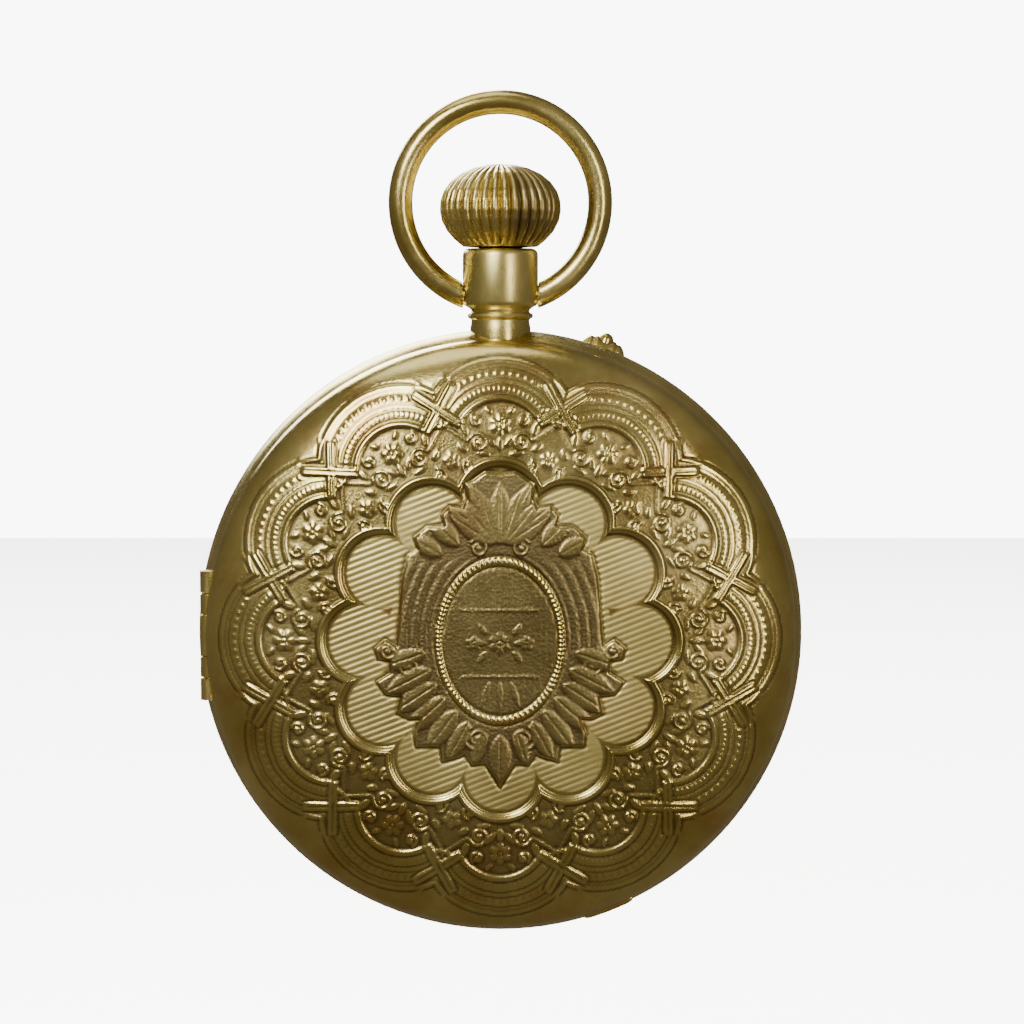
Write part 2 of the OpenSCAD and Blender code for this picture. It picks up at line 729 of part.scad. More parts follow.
module barrel_bridge() placed() color("khaki") difference() {
    union() {
        intersection() {
            disc(bridge_r, bridge_lo, bridge_hi);
            translate([-20, split_y, -5]) cube([40, 40, 10]);
        }
        sector(11.4, foot_r, 30, 56, plate_z, bridge_lo - side);
        sector(11.4, foot_r, 124, 152, plate_z, bridge_lo - side);
    }
    at(barrel_at) disc(0.65 + run, -5, 3);
    // sunk seat and window for the crown wheel over the winding pinion
    at(crown_wheel_at) disc(0.45, -5, 3);
    at(crown_wheel_at) disc(crown_wheel_r + 0.35, bridge_hi - 1, crown_wheel_lo + side);
    translate([-winding_room, pinion_y - gap, -5]) cube([2 * winding_room, 3, 5]);
    for (p = [screw_at[0], screw_at[1]]) at(p) disc(0.35, -5, 3);
    for (p = [screw_at[0], screw_at[1]]) at(p) disc(0.75, -5, bridge_hi + 0.3);
    for (p = case_screw_at) at(p) disc(1.05, -5, 3);
    at(click_at) disc(0.3, -5, 3);
}

module train_bridge() placed() color("khaki") difference() {
    union() {
        intersection() {
            disc(bridge_r, bridge_lo, bridge_hi);
            translate([-20, -40 + split_y - 0.12, -5]) cube([25, 40, 10]);
        }
        sector(11.4, foot_r, 188, 222, plate_z, bridge_lo - side);
        sector(11.4, foot_r, 262, 283, plate_z, bridge_lo - side);
    }
    at(balance_at) disc(balance_d / 2 + 0.45, -5, 3);
    disc(0.6, bridge_hi - 1, bridge_lo - 0.2);
    disc(0.2 + run, -5, 3);
    for (p = [third_at, fourth_at, escape_at]) at(p) disc(0.5, -5, 3);
    for (p = [screw_at[2], screw_at[3]]) at(p) disc(0.35, -5, 3);
    for (p = [screw_at[2], screw_at[3]]) at(p) disc(0.75, -5, bridge_hi + 0.3);
    for (p = case_screw_at) at(p) disc(1.05, -5, 3);
    at(barrel_at) disc(ratchet_r + 0.4, -5, bridge_hi + eps);
}

module bridge_screws() placed() color("steelblue") {
    for (p = screw_at) at(p, bridge_hi + 0.3) slotted_screw(0.75, 0.35, 0.35, bridge_t - 0.3 + train_gap + 0.6);
    at(cock_screw_at, cock_hi + 0.2) slotted_screw(0.5, 0.25, 0.35, plate_z - cock_hi + 0.4);
    for (p = pallet_screw_at) at(p, -0.75) slotted_screw(0.35, 0.15, 0.2, plate_z + 0.75 + 0.5);
}

module jewel(z, t = 0.4) {
    ring(0.5, pivot_r + 0.02, z, z + t);
}

module jewels() placed() color("crimson") {
    for (p = [third_at, fourth_at, escape_at, pallet_at, balance_at]) at(p) jewel(plate_z);
    for (p = [third_at, fourth_at, escape_at]) at(p) jewel(bridge_lo - 0.4);
    at(balance_at) jewel(cock_lo - 0.4);
    at(pallet_at) ring(0.3, pivot_r + 0.02, -0.75, -0.55);
}

// ---- barrel and winding ----

module barrel() placed() color("gold") at(barrel_at) difference() {
    union() {
        toothed(n_barrel, m_barrel, barrel_hi - 0.45, barrel_hi, atan2(-barrel_at[1], -barrel_at[0]) + 180 / n_barrel);
        disc(4.2, barrel_lo, barrel_hi);
    }
    disc(3.95, barrel_lo - 1, barrel_hi - 0.15);
    disc(0.5 + run, -3, 3);
}

module barrel_cover() placed() color("gold") at(barrel_at) ring(3.95, 0.5 + run, barrel_lo, barrel_lo + 0.15);

module barrel_arbor() placed() color("silver") at(barrel_at) {
    disc(0.5, plate_top - 0.15, barrel_lo - 0.25);
    disc(1.1, barrel_lo + 0.17, barrel_hi - 0.17);
    disc(0.65, barrel_lo - 0.05, bridge_hi);
}

module mainspring() placed() color("slategray") at(barrel_at)
    spiral(1.2, 3.82, 7, 0.13, barrel_lo + 0.2, barrel_hi - 0.2);

wind_turn = atan2(crown_wheel_at[1] - barrel_at[1], crown_wheel_at[0] - barrel_at[0]);

module ratchet_wheel() placed() color("lightsteelblue") at(barrel_at)
    toothed(n_ratchet, m_winding, bridge_hi, bridge_hi - ratchet_t, wind_turn);

module ratchet_screw() placed() color("steelblue") at(barrel_at, bridge_hi - ratchet_t)
    difference() {
        disc(0.95, 0, -0.22);
        translate([-2, -0.12, -0.22 - eps]) cube([4, 0.24, 0.12]);
    }

module crown_wheel() placed() color("lightsteelblue") at(crown_wheel_at) difference() {
    union() {
        toothed(n_crown_wheel, m_winding, bridge_hi, bridge_hi - ratchet_t, wind_turn + 180 + 180 / n_crown_wheel);
        disc(crown_wheel_r - 0.1, crown_wheel_lo, bridge_hi - ratchet_t);
    }
    disc(0.6 + run, -5, 3);
}

module crown_wheel_screw() placed() color("steelblue") at(crown_wheel_at) {
    disc(0.45, bridge_lo, bridge_hi - ratchet_t);
    disc(0.6, crown_wheel_lo + side, bridge_hi - ratchet_t - run - eps);
    difference() {
        disc(1.0, bridge_hi - ratchet_t - run, bridge_hi - ratchet_t - 0.22);
        translate([-2, -0.12, bridge_hi - ratchet_t - 0.23]) cube([4, 0.24, 0.12]);
    }
}

module click() placed() color("lightsteelblue") difference() {
    z0 = bridge_hi - run;
    z1 = bridge_hi - ratchet_t;
    union() {
        at(click_at) disc(0.65, z0, z1);
        bar(click_at, towards(click_at, click_tip, norm(click_tip - click_at) - 0.12), 0.22, z0, z1);
    }
    at(click_at) disc(0.3 + run, -5, 3);
}

module click_screw() placed() color("steelblue") at(click_at) {
    disc(0.3, bridge_lo, bridge_hi - ratchet_t - run);
    disc(0.55, bridge_hi - ratchet_t - run, bridge_hi - ratchet_t - 0.2);
}

module click_spring() placed() color("silver") {
    foot = polar(11.7, 22);
    at(foot) disc(0.45, bridge_hi, bridge_hi - 0.3);
    strip([foot, foot + [-0.3, -1.5], click_at + [0.85, -0.2]], 0.14, bridge_hi - run, bridge_hi - 0.25);
}

// ---- going train ----

module centre_wheel() placed() color("gold") {
    crossed(n_centre, m_centre, centre_z, hub = 0.9);
    leaves(n_centre_pinion, m_barrel, barrel_hi - 0.6, barrel_hi, 90 - barrel_turn);
    disc(0.4, plate_z - 0.05, bridge_lo + 0.1);
    disc(centre_arbor_r, plate_z - 0.1, dial_top + 0.7);
    disc(0.2, bridge_lo + 0.2, bridge_lo - 0.6);
}

module third_wheel() placed() color("gold") at(third_at) {
    crossed(n_third, m_third, third_z, fourth_line);
    leaves(n_third_pinion, m_centre, centre_z - 0.25, centre_z + 0.25,
        mesh_phase(third_line, n_centre, 0, n_third_pinion));
    arbor();
}

module fourth_wheel() placed() color("gold") at(fourth_at) {
    crossed(n_fourth, m_fourth, fourth_z, escape_line);
    leaves(n_fourth_pinion, m_third, third_z - 0.22, third_z + 0.2,
        mesh_phase(fourth_line, n_third, fourth_line, n_fourth_pinion));
    arbor();
}

// club-toothed escape wheel
module escape_wheel() placed() color("gold") at(escape_at) {
    points = [for (i = [0:n_escape - 1]) let (a = i * 360 / n_escape) each [
        polar(escape_r - 0.5, a), polar(escape_r - 0.04, a + 7), polar(escape_r, a + 10.5), polar(escape_r - 0.42, a + 11)
    ]];
    difference() {
        translate([0, 0, escape_z - wheel_t / 2]) linear_extrude(wheel_t) polygon(points);
        difference() {
            ring(escape_r - 0.75, 0.45, escape_z - 1, escape_z + 1);
            for (i = [0:3]) rotate([0, 0, i * 90]) translate([0, -0.12, -2]) cube([3, 0.24, 3]);
        }
    }
    leaves(n_escape_pinion, m_fourth, fourth_z - 0.25, fourth_z + 0.25,
        mesh_phase(escape_line, n_fourth, escape_line, n_escape_pinion));
    arbor();
}

// ---- escapement and balance ----

// a ruby pallet set in the end of its arm
module pallet_stone(s, t = wheel_t) {
    translate([-1.1, s * 1.5 - 0.1, escape_z - t / 2]) cube([0.6, 0.2, t]);
}

module pallet_lever() placed() color("lightsteelblue") at(pallet_at) rotate([0, 0, fork_turn]) {
    z0 = escape_z - 0.1;
    z1 = escape_z + 0.1;
    difference() {
        union() {
            bar([0, 0], [fork_reach - 0.85, 0], 0.3, z0, z1);
            translate([fork_reach - 1, -0.3, z0]) cube([0.55, 0.6, wheel_t]);
            for (s = [-1, 1]) bar([0, 0], [-0.55, s * 1.5], 0.42, z0, z1);
        }
        translate([fork_reach - 0.8, -0.13, -2]) cube([1, 0.26, 3]);
        for (s = [-1, 1]) pallet_stone(s, 1);
    }
    disc(0.16, plate_z - 0.08, -0.5);
    disc(pivot_r, plate_z + 0.35, -0.75);
}

module pallet_stones() placed() color("crimson") at(pallet_at) rotate([0, 0, fork_turn])
    for (s = [-1, 1]) pallet_stone(s);

module pallet_bridge() placed() color("khaki") difference() {
    union() {
        bar(pallet_screw_at[0], pallet_screw_at[1], 0.8, -0.75, -0.5);
        at(pallet_at) disc(0.6, -0.75, -0.5);
        for (p = pallet_screw_at) at(p) disc(0.4, plate_z, -0.5 - eps);
    }
    for (p = pallet_screw_at) at(p) disc(0.2, -2, 2);
    at(pallet_at) disc(0.3, -2, 2);
}

module balance_wheel() placed() color("gold") at(balance_at) difference() {
    r = balance_d / 2;
    union() {
        ring(r, r - 0.4, balance_z - 0.17, balance_z + 0.17);
        translate([-r + 0.2, -0.25, balance_z - 0.1]) cube([2 * r - 0.4, 0.5, 0.2]);
        disc(0.6, balance_z - 0.1, balance_z + 0.1);
    }
    disc(0.25, -3, 3);
}

module timing_screws() placed() color("gold") at(balance_at)
    for (i = [0:13]) rotate([0, 0, 12.9 + i * 360 / 14]) translate([balance_d / 2, 0, balance_z])
        rotate([0, 90, 0]) cylinder(r = 0.12, h = 0.22);

module balance_staff() placed() color("silver") at(balance_at) {
    disc(0.25, -0.55, hairspring_z - 0.2);
    disc(pivot_r, plate_z + 0.35, cock_lo - 0.35);
    disc(0.16, plate_z - 0.1, cock_lo + 0.1);
}

module roller() placed() color("crimson") at(balance_at) {
    ring(0.75, 0.25, -0.8, -0.62);
    rotate([0, 0, fork_turn + 180]) translate([0.58, 0, 0]) disc(0.09, -0.62 - eps, -0.05);
}

module hairspring() placed() color("midnightblue") at(balance_at)
    spiral(0.35, hairspring_d / 2, 8, 0.05, hairspring_z - 0.1, hairspring_z + 0.1);

module hairspring_stud() placed() color("silver") at(balance_at)
    translate([hairspring_d / 2 + 0.12, 0, 0]) disc(0.14, hairspring_z + 0.12, cock_lo);

module balance_cock() placed() color("khaki") difference() {
    union() {
        at(balance_at) disc(1.45, cock_lo, cock_hi);
        intersection() {
            disc(bridge_r, cock_lo, cock_hi);
            rotate([0, 0, -35]) translate([8.2, 0, -5]) linear_extrude(10)
                polygon([[0, -1.2], [3.6, -2.4], [6, -3.4], [6, 3.4], [3.6, 2.4], [0, 1.2]]);
        }
        sector(12.05, foot_r, -49, -21, plate_z, cock_lo - side);
        at(balance_at) translate([1.3, -0.35, cock_hi]) cube([1.1, 0.7, cock_lo - cock_hi]);
    }
    at(balance_at) disc(0.5, -5, 3);
    at(balance_at) translate([hairspring_d / 2 + 0.12, 0, 0]) disc(0.14, -5, cock_lo + 1);
    at(cock_screw_at) disc(0.35, -5, 3);
    at(cock_screw_at) disc(0.5, -5, cock_hi + 0.2);
}

module regulator() placed() color("lightsteelblue") at(balance_at) difference() {
    union() {
        disc(0.95, cock_hi, cock_hi - 0.15);
        rotate([0, 0, 55]) translate([0.3, -0.14, cock_hi - 0.14]) cube([3, 0.28, 0.13]);
        rotate([0, 0, -20]) translate([0.3, -0.2, cock_hi - 0.14]) cube([1.8, 0.4, 0.13]);
    }
    disc(0.6, -5, 3);
}

bow();
pendant();
pendant_sleeve();
crown();
winding_stem();
case_middle();
setting_pin();
pin_guard();
back_cover();
inner_cover();
bezel();
crystal();
back_hinge_pin();
bezel_hinge_pin();
case_screws();
dial();
hour_hand();
minute_hand();
cannon_pinion();
hour_wheel();
minute_wheel();
setting_wheel();
winding_pinion();
clutch_wheel();
yoke();
yoke_screw();
yoke_spring();
main_plate();
barrel();
barrel_cover();
barrel_arbor();
mainspring();
barrel_bridge();
crown_wheel();
crown_wheel_screw();
ratchet_wheel();
ratchet_screw();
click();
click_screw();
click_spring();
centre_wheel();
third_wheel();
fourth_wheel();
escape_wheel();
train_bridge();
pallet_lever();
pallet_stones();
pallet_bridge();
balance_wheel();
balance_staff();
timing_screws();
roller();
hairspring();
hairspring_stud();
balance_cock();
regulator();
jewels();
bridge_screws();
dial_feet_screws();
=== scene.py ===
import math
import bpy
import numpy as np
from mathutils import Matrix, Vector


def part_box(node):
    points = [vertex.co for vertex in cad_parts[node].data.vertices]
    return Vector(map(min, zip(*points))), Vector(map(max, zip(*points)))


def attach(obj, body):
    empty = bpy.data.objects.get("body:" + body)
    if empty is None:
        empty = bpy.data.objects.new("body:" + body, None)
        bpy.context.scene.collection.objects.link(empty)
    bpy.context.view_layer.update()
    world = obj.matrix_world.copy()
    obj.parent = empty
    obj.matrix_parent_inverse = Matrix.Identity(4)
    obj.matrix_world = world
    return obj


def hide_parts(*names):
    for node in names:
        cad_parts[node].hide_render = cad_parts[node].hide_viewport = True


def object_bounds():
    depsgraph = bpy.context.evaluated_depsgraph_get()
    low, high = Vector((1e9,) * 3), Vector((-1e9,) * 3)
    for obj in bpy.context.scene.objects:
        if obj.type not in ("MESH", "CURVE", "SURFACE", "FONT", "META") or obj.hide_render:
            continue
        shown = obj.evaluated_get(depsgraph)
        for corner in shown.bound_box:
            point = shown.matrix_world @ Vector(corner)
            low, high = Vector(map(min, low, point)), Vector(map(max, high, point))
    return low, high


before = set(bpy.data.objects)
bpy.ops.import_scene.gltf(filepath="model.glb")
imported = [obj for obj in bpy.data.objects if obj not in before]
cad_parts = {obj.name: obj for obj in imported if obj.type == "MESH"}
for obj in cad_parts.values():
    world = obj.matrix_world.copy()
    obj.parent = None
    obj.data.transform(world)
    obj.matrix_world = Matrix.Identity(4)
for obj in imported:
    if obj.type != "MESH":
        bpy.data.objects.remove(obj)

cad_lo, cad_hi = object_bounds()

# ---------------------------------------------------------------- case middle
# The band between the covers, a solid gold ring with its hinge knuckles. It is turned,
# soldered and polished, and a century of pockets has dulled and lightly scratched it.
mm = 0.001
case_lo, case_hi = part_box("case_middle")
case_r = (case_hi.x - case_lo.x) / 2
centre = Vector((0, 0, case_lo.z + case_r))


class Wire:
    """A socket of a material's nodes. Python operators add the Math nodes that do the sum."""

    def __init__(self, tree, end=None):
        self.tree, self.end = tree, end

    def node(self, kind, sockets=(), out=0, **settings):
        """Adds a node, fills or links its sockets, and gives the output numbered out."""
        made = self.tree.nodes.new(kind)
        for key, value in settings.items():
            setattr(made, key, value)
        for key, value in dict(sockets).items():
            if isinstance(value, Wire):
                self.tree.links.new(value.end, made.inputs[key])
            else:
                made.inputs[key].default_value = value
        return Wire(self.tree, made.outputs[out])

    def math(self, operation, other):
        return self.node("ShaderNodeMath", enumerate((self, other)), operation=operation)

    def __add__(self, other):
        return self.math("ADD", other)

    def __mul__(self, other):
        return self.math("MULTIPLY", other)

    __radd__, __rmul__ = __add__, __mul__

    def clamp(self, low, high):
        """Stretches the span from low to high over 0 to 1, and cuts off what lies beyond."""
        return self.node("ShaderNodeMapRange", {"Value": self, "From Min": low, "From Max": high})


def begin(name):
    """A new material: its first wire, its shader and itself."""
    made = bpy.data.materials.new(name)
    made.use_nodes = True
    return Wire(made.node_tree), made.node_tree.nodes["Principled BSDF"], made


def noise(wire, place, size, detail=3.0, rough=0.55, stretch=(1, 1, 1)):
    """Noise whose lumps are about size metres across."""
    turned = wire.node("ShaderNodeMapping", {"Vector": place, "Scale": stretch})
    return wire.node("ShaderNodeTexNoise", {"Vector": turned, "Scale": 1 / size,
                                            "Detail": detail, "Roughness": rough})


def mix(wire, factor, one, two):
    """A colour between two, which may be wires or plain colours."""
    full = [c if isinstance(c, Wire) else (*c, 1) for c in (one, two)]
    return wire.node("ShaderNodeMix", {0: factor, 6: full[0], 7: full[1]}, out=2,
                     data_type="RGBA")


def join(shader, socket, wire):
    """Plugs a wire into one of the shader's sockets."""
    shader.id_data.links.new(wire.end, shader.inputs[socket])


pale_gold, deep_gold = (0.83, 0.71, 0.29), (0.57, 0.46, 0.14)
copper_tint, grime = (0.58, 0.28, 0.10), (0.10, 0.06, 0.02)


def gold_finish(name, shine=0.2, tint=0.35, scratch=0.5):
    """Old polished gold: cloudy tone, coppery patches, rubbed-in haze and fine scratches."""
    wire, shader, made = begin(name)
    place = wire.node("ShaderNodeTexCoord", out=3)
    cloud = noise(wire, place, 5 * mm, 4).clamp(0.35, 0.68)
    patch = noise(wire, place, 2.2 * mm, 5, 0.6).clamp(0.55, 0.78)
    tone = mix(wire, cloud, deep_gold, pale_gold)
    tone = mix(wire, patch * tint, tone, copper_tint)
    hair = noise(wire, place, 0.5 * mm, 6, 0.7, (1, 6, 1)).clamp(0.45, 0.75)
    across = noise(wire, place, 0.4 * mm, 6, 0.7, (7, 1, 2)).clamp(0.5, 0.8)
    join(shader, "Base Color", tone)
    join(shader, "Roughness", shine + 0.12 * cloud + 0.14 * hair * scratch + 0.1 * across * scratch)
    shader.inputs["Metallic"].default_value = 1
    rub = wire.node("ShaderNodeBump", {"Strength": 0.22 * scratch, "Distance": 0.02 * mm,
                                       "Height": hair + across})
    join(shader, "Normal", rub)
    return made


gold = gold_finish("polished_gold")


def dress(node, material):
    """Gives a CAD piece its finish."""
    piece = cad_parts[node]
    piece.data.materials.clear()
    piece.data.materials.append(material)


dress("case_middle", gold)

# ---------------------------------------------------------------- movement
# The works behind the dial: gilt brass plate and bridges, brass wheels, steel screws and
# springs, ruby bearings. They are stamped, cut and polished, and screwed to the plate.
gilt_tone, brass_tone, steel_tone = (0.93, 0.76, 0.42), (0.84, 0.66, 0.32), (0.66, 0.67, 0.69)


def frosted_gilt():
    """Gilding over a matted surface: tiny dimples under a soft warm tone."""
    wire, shader, made = begin("frosted_gilt")
    place = wire.node("ShaderNodeTexCoord", out=3)
    cloud = noise(wire, place, 3 * mm, 3).clamp(0.3, 0.7)
    dimple = noise(wire, place, 0.07 * mm, 2, 0.6)
    join(shader, "Base Color", mix(wire, cloud, (0.86, 0.67, 0.34), gilt_tone))
    join(shader, "Roughness", 0.34 + 0.1 * cloud)
    shader.inputs["Metallic"].default_value = 1
    join(shader, "Normal", wire.node("ShaderNodeBump", {
        "Strength": 0.25, "Distance": 0.01 * mm, "Height": dimple}))
    return made


def cut_metal(name, low, high, shine, stretch=(1, 1, 1)):
    """Turned or filed metal with fine tool lines and a cloudy tone between two colours."""
    wire, shader, made = begin(name)
    place = wire.node("ShaderNodeTexCoord", out=3)
    cloud = noise(wire, place, 1.5 * mm, 4).clamp(0.3, 0.7)
    lines = noise(wire, place, 0.12 * mm, 3, 0.5, stretch)
    join(shader, "Base Color", mix(wire, cloud, low, high))
    join(shader, "Roughness", shine + 0.12 * lines)
    shader.inputs["Metallic"].default_value = 1
    join(shader, "Normal", wire.node("ShaderNodeBump", {
        "Strength": 0.12, "Distance": 0.01 * mm, "Height": lines}))
    return made


gilding = frosted_gilt()
wheel_brass = cut_metal("wheel_brass", (0.66, 0.48, 0.19), brass_tone, 0.2, (1, 9, 1))
bright_steel = cut_metal("bright_steel", (0.44, 0.45, 0.47), steel_tone, 0.16, (9, 1, 1))
spring_steel = cut_metal("spring_steel", (0.30, 0.31, 0.34), (0.48, 0.50, 0.54), 0.2)
blued_steel = cut_metal("blued_steel", (0.01, 0.014, 0.05), (0.02, 0.035, 0.15), 0.2)
gilt_balance = cut_metal("gilt_balance", (0.72, 0.53, 0.23), (0.86, 0.68, 0.35), 0.16)

wire, shader, ruby = begin("ruby")
cloud = noise(wire, wire.node("ShaderNodeTexCoord", out=3), 0.4 * mm).clamp(0.3, 0.7)
join(shader, "Base Color", mix(wire, cloud, (0.42, 0.01, 0.04), (0.72, 0.03, 0.10)))
join(shader, "Roughness", 0.05 + 0.08 * cloud)
shader.inputs["Coat Weight"].default_value = 0.6

finishes = {
    gilding: ("main_plate", "barrel_bridge", "train_bridge", "pallet_bridge", "balance_cock"),
    wheel_brass: ("barrel", "barrel_cover", "centre_wheel", "third_wheel", "fourth_wheel",
                  "hour_wheel", "minute_wheel", "escape_wheel"),
    bright_steel: ("winding_stem", "winding_pinion", "clutch_wheel", "yoke", "setting_wheel",
                   "cannon_pinion", "crown_wheel", "ratchet_wheel", "click", "pendant_sleeve",
                   "barrel_arbor", "pallet_lever", "balance_staff", "roller", "regulator",
                   "hairspring_stud", "back_hinge_pin", "bezel_hinge_pin"),
    spring_steel: ("mainspring", "yoke_spring", "click_spring"),
    blued_steel: ("hairspring", "case_screws", "yoke_screw", "crown_wheel_screw",
                  "ratchet_screw", "click_screw", "bridge_screws", "dial_feet_screws"),
    gilt_balance: ("balance_wheel", "timing_screws"),
    ruby: ("jewels", "pallet_stones"),
}
for finish, nodes in finishes.items():
    for node in nodes:
        dress(node, finish)

# ---------------------------------------------------------------- dial
# White vitreous enamel fired on copper, with its numerals and minute track printed in
# black and fired on. Its two feet are pinned through the movement's plate.
dial_lo, dial_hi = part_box("dial")
dial_r = (dial_hi.x - dial_lo.x) / 2 / mm


def set_down(piece, name, turn=(0, 0, 0), at=(0, 0, 0)):
    """Turns a piece and moves it to its place, and puts that into its mesh."""
    bpy.ops.object.select_all(action="DESELECT")
    piece.name = piece.data.name = name
    piece.select_set(True)
    bpy.context.view_layer.objects.active = piece
    piece.rotation_euler, piece.location = turn, at
    bpy.ops.object.transform_apply(location=True, rotation=True, scale=True)
    return piece


def turned(name, outline, steps=96, smooth=40, turn=(0, 0, 0), at=(0, 0, 0)):
    """A piece turned on a lathe: its section, in mm from the axis and along it, spun round."""
    bpy.ops.object.select_all(action="DESELECT")
    bpy.ops.mesh.primitive_circle_add(vertices=len(outline), radius=mm)
    made = bpy.context.object
    for point, (out, along) in zip(made.data.vertices, outline):
        point.co = Vector((out, 0, along)) * mm
    bpy.ops.object.mode_set(mode="EDIT")
    bpy.ops.mesh.select_all(action="SELECT")
    bpy.ops.mesh.spin(steps=steps, angle=math.tau, center=(0, 0, 0), axis=(0, 0, 1))
    bpy.ops.mesh.select_all(action="SELECT")
    bpy.ops.mesh.remove_doubles(threshold=0.0005 * mm)
    bpy.ops.mesh.delete_loose()
    bpy.ops.mesh.select_all(action="SELECT")
    bpy.ops.mesh.normals_make_consistent(inside=False)
    bpy.ops.object.mode_set(mode="OBJECT")
    set_down(made, name, turn, at)
    bpy.ops.object.shade_smooth_by_angle(angle=math.radians(smooth))
    return made


def bar(width, height, depth, turn=0.0, at=(0, 0, 0)):
    """One flat stroke with softened edges, standing on the watch's face or back."""
    bpy.ops.object.select_all(action="DESELECT")
    bpy.ops.mesh.primitive_cube_add(size=1)
    made = bpy.context.object
    made.scale = (width * mm, depth * mm, height * mm)
    set_down(made, "stroke")
    bpy.ops.object.mode_set(mode="EDIT")
    bpy.ops.mesh.select_all(action="SELECT")
    bpy.ops.mesh.bevel(offset=0.2 * min(width, depth) * mm, segments=1)
    bpy.ops.object.mode_set(mode="OBJECT")
    return set_down(made, "stroke", (0, turn, 0), Vector(at) * mm)


def gather(name, pieces):
    """Joins pieces into one object."""
    bpy.ops.object.select_all(action="DESELECT")
    for piece in pieces:
        piece.select_set(True)
    bpy.context.view_layer.objects.active = pieces[0]
    bpy.ops.object.join()
    pieces[0].name = pieces[0].data.name = name
    return pieces[0]


def fit(piece, body, material, slot, *nodes):
    """Gives a piece its finish and the body it moves with, and hides the nodes it stands for. The
    slot argument is not used.
    """
    piece.data.materials.clear()
    piece.data.materials.append(material)
    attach(piece, body)
    if nodes:
        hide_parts(*nodes)


lathe_turn = (math.radians(-90), 0, 0)
hole, dial_face, dial_back = 1.05, -2.5, -2.1
dial = turned("dial_plate", [
    (hole, dial_back), (dial_r - 0.05, dial_back), (dial_r, -2.2), (dial_r - 0.02, -2.36),
    (dial_r - 0.12, -2.44), (dial_r - 0.4, -2.47), (9, -2.49), (hole + 0.2, dial_face),
    (hole, -2.44)], 180, 40, lathe_turn, centre)

wire, shader, enamel = begin("white_enamel")
place = wire.node("ShaderNodeTexCoord", out=3)
warm = noise(wire, place, 6 * mm, 3).clamp(0.3, 0.7)
speck = noise(wire, place, 0.25 * mm, 2).clamp(0.72, 0.76)
join(shader, "Base Color", mix(wire, speck * 0.25, mix(
    wire, warm, (0.83, 0.82, 0.78), (0.88, 0.875, 0.85)), (0.45, 0.42, 0.37)))
join(shader, "Roughness", 0.1 + 0.06 * warm)
shader.inputs["Coat Weight"].default_value = 0.5
join(shader, "Normal", wire.node("ShaderNodeBump", {
    "Strength": 0.08, "Distance": 0.05 * mm, "Height": warm}))
fit(dial, "case", enamel, "enamel", "dial")

strokes, ink_thick = [], 0.03
numeral_r, minute_r, track_inner, track_outer = 10.4, 12.65, 12.35, 12.95
numerals = ["XII", "I", "II", "III", "IIII", "V", "VI", "VII", "VIII", "IX", "X", "XI"]
tall, thick, thin = 2.3, 0.36, 0.12
widths = {"I": 0.62, "V": 1.25, "X": 1.3}
for hour, numeral in enumerate(numerals):
    angle = math.tau * hour / 12
    across = -sum(widths[letter] for letter in numeral) / 2
    out = Vector((math.sin(angle), 0, math.cos(angle)))
    along = Vector((math.cos(angle), 0, -math.sin(angle)))
    for letter in numeral:
        middle = across + widths[letter] / 2
        lean = math.atan2(0.42, tall / 2) if letter != "I" else 0
        parts = {"I": [(thick, 0, 0, tall)],
                 "V": [(thick, -0.24, -lean * 0.55, tall), (thin, 0.24, lean * 0.55, tall)],
                 "X": [(thick, 0, -lean * 0.95, tall * 1.03), (thin, 0, lean * 0.95, tall * 1.03)]}
        for width, offset, tilt, height in parts[letter]:
            at = centre / mm + out * numeral_r + along * (middle + offset)
            strokes.append(bar(width, height, ink_thick, angle + tilt,
                               (at.x, dial_face, at.z)))
        for end in (-1, 1):
            at = centre / mm + out * (numeral_r + end * tall / 2) + along * middle
            serif = widths[letter] - 0.1 if letter != "V" or end > 0 else 0.34
            strokes.append(bar(serif, 0.09, ink_thick, angle, (at.x, dial_face, at.z)))
        across += widths[letter]
for minute in range(60):
    angle = math.tau * minute / 60
    major = minute % 5 == 0
    at = centre / mm + Vector((math.sin(angle), 0, math.cos(angle))) * minute_r
    strokes.append(bar(0.26 if major else 0.09, 0.6, ink_thick, angle, (at.x, dial_face, at.z)))
for ring_r in (track_inner, track_outer):
    strokes.append(turned("track", [
        (ring_r - 0.04, dial_face), (ring_r + 0.04, dial_face),
        (ring_r + 0.03, dial_face - ink_thick / 2), (ring_r - 0.03, dial_face - ink_thick / 2)],
        180, 40, lathe_turn, centre))
wire, shader, ink = begin("fired_black")
worn = noise(wire, wire.node("ShaderNodeTexCoord", out=3), 0.3 * mm).clamp(0.3, 0.7)
join(shader, "Base Color", mix(wire, worn, (0.008, 0.008, 0.010), (0.022, 0.020, 0.020)))
join(shader, "Roughness", 0.25 + 0.15 * worn)
fit(gather("dial_printing", strokes), "case", ink, "enamel")
for node in ("hour_hand", "minute_hand"):
    dress(node, blued_steel)

# ---------------------------------------------------------------- bezel and crystal
# A gold ring hinged at 3 o'clock carries the glass, which snaps into a groove inside it.
# The glass is a thin clear dome, ground and polished.
dress("bezel", gold)
dress("inner_cover", gold)
glass_lo, glass_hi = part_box("crystal")
glass_r = (glass_hi.x - glass_lo.x) / 2 / mm
seat_y, top_y = glass_hi.y / mm, glass_lo.y / mm
rise = seat_y - top_y - 0.4


def sphere_cap(radius, drop, foot, count=30):
    """Points of a ball's cap, from its rim to its middle."""
    ball = (radius ** 2 + drop ** 2) / (2 * drop)
    half = math.asin(radius / ball)
    return [(ball * math.sin(half * (1 - i / count)),
             foot - ball * math.cos(half * (1 - i / count)) + ball - drop)
            for i in range(count + 1)]


